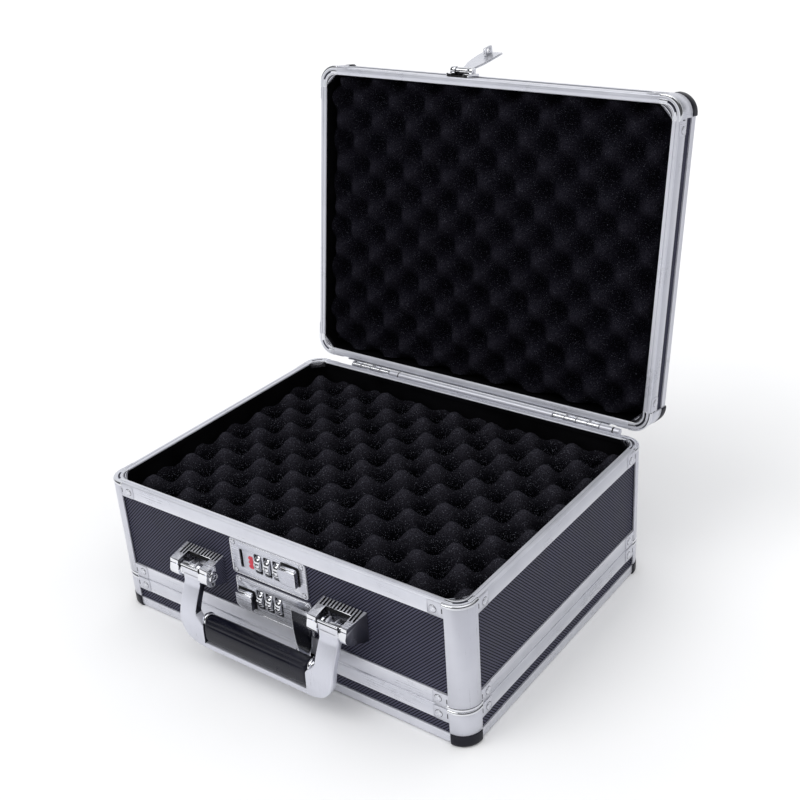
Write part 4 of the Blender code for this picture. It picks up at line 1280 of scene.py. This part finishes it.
def handle_bracket(tag, sign):
    def span(start, end):
        return sorted((sign * start, sign * end))

    profile = [(DECK_BACK_Y, 60.9), (DECK_BACK_Y, DECK_BACK_Z), (DECK_FRONT_Y, DECK_FRONT_Z),
               (-153.6, 81.4), (-153.9, 79.0), *arc(-148.3, 73.2, 7.0, 158.0, 262.0, 16)]
    mouth = box(span(59.6, 80.9), (-170.0, -139.0), (40.0, 80.8))
    well_span = span(58.2, 81.6)
    well = box(well_span, (-160.0, -141.0), (78.0, 95.0))
    bore = rod(PIVOT, 2.62, *span(54.0, 87.0), 20, 0.01)
    tip = 86.2 if tag == "right" else 90.0
    taper = prism([(sign * 90.5, -134.4), (sign * tip, -155.5), (sign * 97.0, -155.5),
                   (sign * 97.0, -134.4)], "z", 50.0, 95.0)
    comb = []
    for k in range(12):
        x = 53.0 + 3.05 * k
        front = -145.8 if x > 82.4 else -141.6
        comb.append(prism([(-133.0, deck(-133.0) - 2.2), (-133.0, 90.0), (front, 90.0),
                           (front, deck(front) - 2.2)], "x", *around(sign * x, 0.86)))
    seam = merged(box(span(*ends), (-156.0, -152.7), (78.6, 79.4))
                  for ends in ((49.0, 59.0), (81.5, 92.0)))
    name = "handle_bracket_" + tag
    case = ("case_body", "handle_metal")
    make(name + "_casting", prism(profile, "x", *span(50.3, 90.3)),
         "chrome cheek plate recess gusset", *case, name,
         cuts=(mouth, well, bore, taper, merged(comb), seam), bevel=0.32, bevel_angle=35,
         pick=bracket_face)
    left, right = well_span
    z = deck(-141.3)
    edge = tube([(left + 0.2, -141.1, z - 0.1), (left + 0.5, -141.1, z + 0.12),
                 (right - 0.5, -141.1, z + 0.12), (right - 0.2, -141.1, z - 0.1)], 0.42, 10)
    make(name + "_rolled_edges", edge, "bead", *case, smooth=60)


for tag, sign in ENDS:
    handle_bracket(tag, sign)


# ---- handle -------------------------------------------------------------
BOW_DEPTH = 6.8


def handle_piece(name, shape, finish, **options):
    make(name, shape, finish, "handle", "handle_metal", **options)


def hang(z):
    """Front face of the hanging handle, which stands a little forward of its pivot."""
    if z > 66.0:
        return -154.0
    if z > 32.0:
        return -154.0 - 11.0 * math.sin(math.radians(90.0 * (66.0 - z) / 34.0))
    if z > 22.0:
        return -165.0 - 0.2 * (32.0 - z) / 10.0
    return -165.2 + 1.7 * (22.0 - z) / 7.0


def ease(t):
    t = min(1.0, max(0.0, t))
    return t * t * (3 - 2 * t)


def handle_stations():
    """Inner and outer (x, z) points of the bow, from right pivot to the foot's middle."""
    pairs = [((60.0, z), (77.5, z))
             for z in (PIVOT_Z, 70.0, 66.0, 63.0, 60.0, 57.0, 54.0, 51.5, 49.0, 46.5)]
    for k in range(1, 33):
        t = k / 32
        if t < 0.4:
            z = 46.5 - 10.0 * t / 0.4
            inner = (60.0 - 8.3 * ease((46.5 - z) / 10.0), z)
        else:
            inner = (51.7, 36.5 - 14.7 * (t - 0.4) / 0.6)
        if t < 0.22:
            outer = (77.5, 46.5 - 7.0 * t / 0.22)
        else:
            angle = math.radians(-90.0 * (t - 0.22) / 0.78)
            outer = (53.0 + 24.5 * math.cos(angle), 39.5 + 24.35 * math.sin(angle))
        pairs.append((inner, outer))
    return pairs + [((x, 21.8), (x, 15.15)) for x in (49.0, 44.0, 34.0, 22.0, 10.0, 0.0)]


def bow_loop(inner, outer, sign):
    """Rounded section across the bow between an inner and an outer point."""
    length = math.dist(inner, outer)
    r_in, r_out = min(0.9, length * 0.3), min(1.7, length * 0.4)
    section = []
    for across, deep, radius, start in (
            (length - r_out, BOW_DEPTH - r_out, r_out, 0), (r_in, BOW_DEPTH - r_in, r_in, 90),
            (r_in, r_in, r_in, 180), (length - r_out, r_out, r_out, 270)):
        section += arc(across, deep, radius, start, start + 90, 4)
    loop = []
    for across, deep in section:
        x = inner[0] + (outer[0] - inner[0]) * across / length
        z = inner[1] + (outer[1] - inner[1]) * across / length
        loop.append((sign * x, hang(z) + deep, z))
    return loop


def bow_face(centre, normal):
    """Painted dark reflection on the inner edges of the arms."""
    inner = normal.x * centre.x < 0 and abs(normal.x) > 0.8 and abs(centre.x) > 50
    return 1 if inner else 0


def handle_bow():
    half = handle_stations()
    loops = [bow_loop(*pair, 1) for pair in half] + [bow_loop(*pair, -1) for pair in half[-2::-1]]
    handle_piece("handle_bow", stack(loops), "satin cheek", stands_for="handle_frame",
                 smooth=45, pick=bow_face)
    bar = [(-163.0, 15.5), (-164.6, 21.6), (-152.8, 21.6), (-152.8, 17.1), (-154.3, 15.5)]
    handle_piece("handle_foot_bar", prism(bar, "x", -52.8, 52.8), "satin", bevel=0.8,
                 segments=4, bevel_angle=30)


# Side view (y, z) of an arm's head, with a groove under its top edge
ARM_HEAD = [
    (-154.0, 73.0), (-154.0, 78.8), (-153.5, 78.95), (-153.5, 79.5), (-154.0, 79.65),
    (-154.0, 80.6), (-153.7, 81.1), (-153.1, 81.3), (-152.5, 81.1), (-152.2, 80.5),
    (-152.2, 73.0)]
# Turned pieces, (distance out from the case's middle, radius)
KNOB = [
    (60.0, 3.0), (60.0, 6.1), (60.4, 6.5), (61.6, 6.5), (62.0, 6.2), (62.5, 6.2), (62.9, 6.5),
    (77.4, 6.5), (77.8, 6.1), (78.3, 6.1), (78.7, 6.5), (80.1, 6.5), (80.5, 6.1), (80.5, 3.0)]
STUD = [(50.9, 1.0), (50.9, 4.6), (50.2, 4.6), (49.5, 4.2), (49.2, 3.4), (49.5, 2.6),
        (49.4, 1.2), (49.1, 0.3)]
BOSS = [(51.5, 3.0), (51.5, 5.4), (51.9, 6.0), (52.9, 6.3), (53.9, 6.0), (54.4, 5.2),
        (55.4, 5.0), (56.2, 4.6), (57.0, 3.6), (57.2, 1.5)]


def head_face(centre, normal):
    """Chrome on the top edge as a painted highlight and painted shade in the groove under it, on
    the satin face of an arm's head.
    """
    if centre.y < -153.0 and 78.7 < centre.z < 79.75:
        return 2
    return 1 if centre.z > 79.7 else 0


def arm_head(tag, sign):
    handle_piece("handle_arm_head_" + tag, prism(ARM_HEAD, "x", sign * 60.0, sign * 78.4),
                 "satin chrome recess", bevel=0.12, segments=2, pick=head_face)
    # radius, start and end angle, x span of two curved fins above the pivot
    fins = merged(prism(arc(*PIVOT, radius, start, end, 8) + arc(*PIVOT, 6.2, end, start, 8),
                        "x", sign * x0, sign * x1)
                  for radius, start, end, x0, x1 in ((8.0, 74.0, 128.0, 65.4, 67.0),
                                                     (7.6, 66.0, 112.0, 72.6, 73.6)))
    handle_piece("handle_stop_fins_" + tag, fins, "plate", bevel=0.2, segments=2)


def pivot_parts(tag, sign):
    def turned(centre, profile, sides):
        return lathe("x", centre, [(sign * out, radius) for out, radius in profile], sides)

    handle_piece("handle_knob_" + tag, turned(PIVOT, KNOB, 48), "chrome", smooth=40)
    make("handle_bracket_" + tag + "_stud", turned((PIVOT_Y, PIVOT_Z + 0.6), STUD, 28),
         "chrome", "case_body", "handle_metal", smooth=40)
    pin = spool(PIVOT, sign * 54.6, sign * 86.4, [(0, 1.2), (0, 2.2), (0.3, 2.5)], 28)
    handle_piece("handle_pin_" + tag, pin, "rivet", smooth=40)
    handle_piece("handle_boss_" + tag, turned((-156.0, 38.2), BOSS, 36), "chrome", smooth=40)


handle_bow()
for tag, sign in ENDS:
    arm_head(tag, sign)
for tag, sign in ENDS:
    pivot_parts(tag, sign)

GRIP_HALF = 51.4
GRIP_Y, GRIP_Z = -156.9, 32.7
GRIP_ENDS = [49.4, 50.2, 50.8, 51.25, GRIP_HALF]


def grip_loop(x):
    """Section of the grip, squarer at its lower front, with a raised cord between hollows."""
    along = abs(x) / GRIP_HALF
    swell = 1.0 - 0.03 * along ** 2 - 0.12 * max(0.0, (along - 0.965) / 0.035) ** 2
    fade = 1 - along ** 8
    loop = []
    for i in range(72):
        angle = 2 * math.pi * i / 72
        cos, sin, degrees = math.cos(angle), math.sin(angle), math.degrees(angle)
        power = 2 / (5.5 if cos < 0 and sin < 0 else 2.7)
        cord = math.exp(-((degrees - 133.0) / 6.0) ** 2)
        hollow = (math.exp(-((degrees - 147.0) / 6.5) ** 2)
                  + 0.9 * math.exp(-((degrees - 119.0) / 7.0) ** 2))
        scale = swell * (1.0 + 0.042 * cord * fade - 0.062 * hollow * fade)
        loop.append((x, GRIP_Y + 7.85 * math.copysign(abs(cos) ** power, cos) * scale,
                     GRIP_Z + 10.35 * math.copysign(abs(sin) ** power, sin) * scale))
    return loop


grip_stations = ([-x for x in GRIP_ENDS[::-1]] + [-48.4 + 96.8 * k / 40 for k in range(41)]
                 + GRIP_ENDS)
make("handle_grip_cover", stack([grip_loop(x) for x in grip_stations]), "grip", "handle",
     "grip", "handle_grip", smooth=50)


# ------------------------------------------------------------------- stage
def floor():
    made, nodes = new_material("pale_floor")
    where = nodes.coords()
    pale = nodes.blend(nodes.spread(nodes.noise(where, scale=3.0)),
                       (0.90, 0.90, 0.905), (0.93, 0.93, 0.935))
    # Painted shade in reflections: glossy rays see the floor fall away to grey on the right-hand
    # side, darkening the metalwork's right-facing faces.
    position = nodes.node("SeparateXYZ", {0: nodes.node("TexCoord").outputs["Object"]})
    right_reflection_shade = nodes.spread(position.outputs["X"], start=0.18, end=0.34)
    glossy = nodes.node("LightPath").outputs["Is Glossy Ray"]
    grain = nodes.noise(where, scale=400.0, detail=2.0)
    nodes.shade({"Base Color": nodes.blend(nodes.math("MULTIPLY", right_reflection_shade, glossy),
                                           pale, (0.60, 0.60, 0.63)),
                 "Normal": nodes.bump(grain, strength=0.02, distance=0.0005),
                 "Roughness": 0.9, "Specular IOR Level": 0.0})
    mesh = bpy.data.meshes.new("floor")
    half = 14.0
    mesh.from_pydata([(-half, -half, 0), (half, -half, 0), (half, half, 0), (-half, half, 0)],
                     [], [(0, 1, 2, 3)])
    mesh.materials.append(made)
    obj = bpy.data.objects.new("floor", mesh)
    obj.location = (0, 0, CAD_BOX[0].z - 0.0002)
    bpy.context.scene.collection.objects.link(obj)


def studio_world():
    """White to the camera, even for diffuse light; soft boxes and drapes in reflections."""
    world = bpy.data.worlds.new("studio")
    bpy.context.scene.world = world
    world.use_nodes = True
    world.node_tree.nodes.clear()
    nodes = Nodes(world.node_tree)
    output = nodes.node("OutputWorld")
    ray = nodes.node("TexCoord").outputs["Generated"]
    height = nodes.node("SeparateXYZ", {0: ray}).outputs["Z"]
    left_rear = nodes.node("VectorMath", {0: ray, 1: (-0.61, 0.79, 0.0)},
                           operation="DOT_PRODUCT").outputs["Value"]

    # soft boxes overhead and behind to the left, a low glow at the horizon
    above = nodes.spread(height, start=0.84, end=0.94, curve="SMOOTHSTEP")
    behind = nodes.spread(left_rear, start=0.30, end=0.75, curve="SMOOTHSTEP")
    glow = nodes.spread(height, low=1.0, high=0.0, start=0.04, end=0.12, curve="SMOOTHSTEP")
    lit = nodes.math("MAXIMUM", nodes.math("MAXIMUM", above, behind), glow)
    level = nodes.math("ADD", nodes.math("MULTIPLY", lit, 0.86), 0.09)

    def background(colour, strength):
        return nodes.node("Background", {"Color": colour, "Strength": strength}).outputs[0]

    reflected = background((0.97, 0.98, 1.0), level)
    even = background((0.985, 0.99, 1.0), 0.90)
    white = background((1, 1, 1), 1.0)
    path = nodes.node("LightPath").outputs
    mix = nodes.node("MixShader", {"Fac": path["Is Glossy Ray"], 1: even, 2: reflected})
    last = nodes.node("MixShader", {"Fac": path["Is Camera Ray"], 1: mix.outputs[0], 2: white})
    nodes.feed(output.inputs["Surface"], last.outputs[0])


def sun(name, source, strength, spread):
    """Sun shining from a direction, with its angular size in degrees."""
    light = bpy.data.lights.new(name, "SUN")
    light.energy = strength
    light.angle = math.radians(spread)
    toward = (-Vector(source)).to_track_quat("-Z", "Y")
    link(name, light).rotation_euler = toward.to_euler()


def camera():
    data = bpy.data.cameras.new("camera")
    data.sensor_width = 36.0
    data.lens = 54.0528
    data.clip_start, data.clip_end = 0.01, 50.0
    obj = link("camera", data)
    right = Vector((0.80742043, 0.58669128, -0.06217393))
    up = Vector((-0.21863395, 0.39542881, 0.89209599))
    forward = Vector((-0.5479703, 0.7067032, -0.44754793))
    turn = Matrix((right, up, -forward)).transposed().to_4x4()
    obj.matrix_world = Matrix.Translation((0.54561239, -0.66545587, 0.6034442)) @ turn
    scene = bpy.context.scene
    scene.camera = obj
    scene.view_settings.view_transform = "Standard"
    scene.view_settings.look = "None"


floor()
studio_world()
sun("key", source=(-0.45, -0.70, 1.05), strength=0.75, spread=38.0)
sun("top", source=(0.25, 0.15, 1.0), strength=0.35, spread=60.0)
camera()
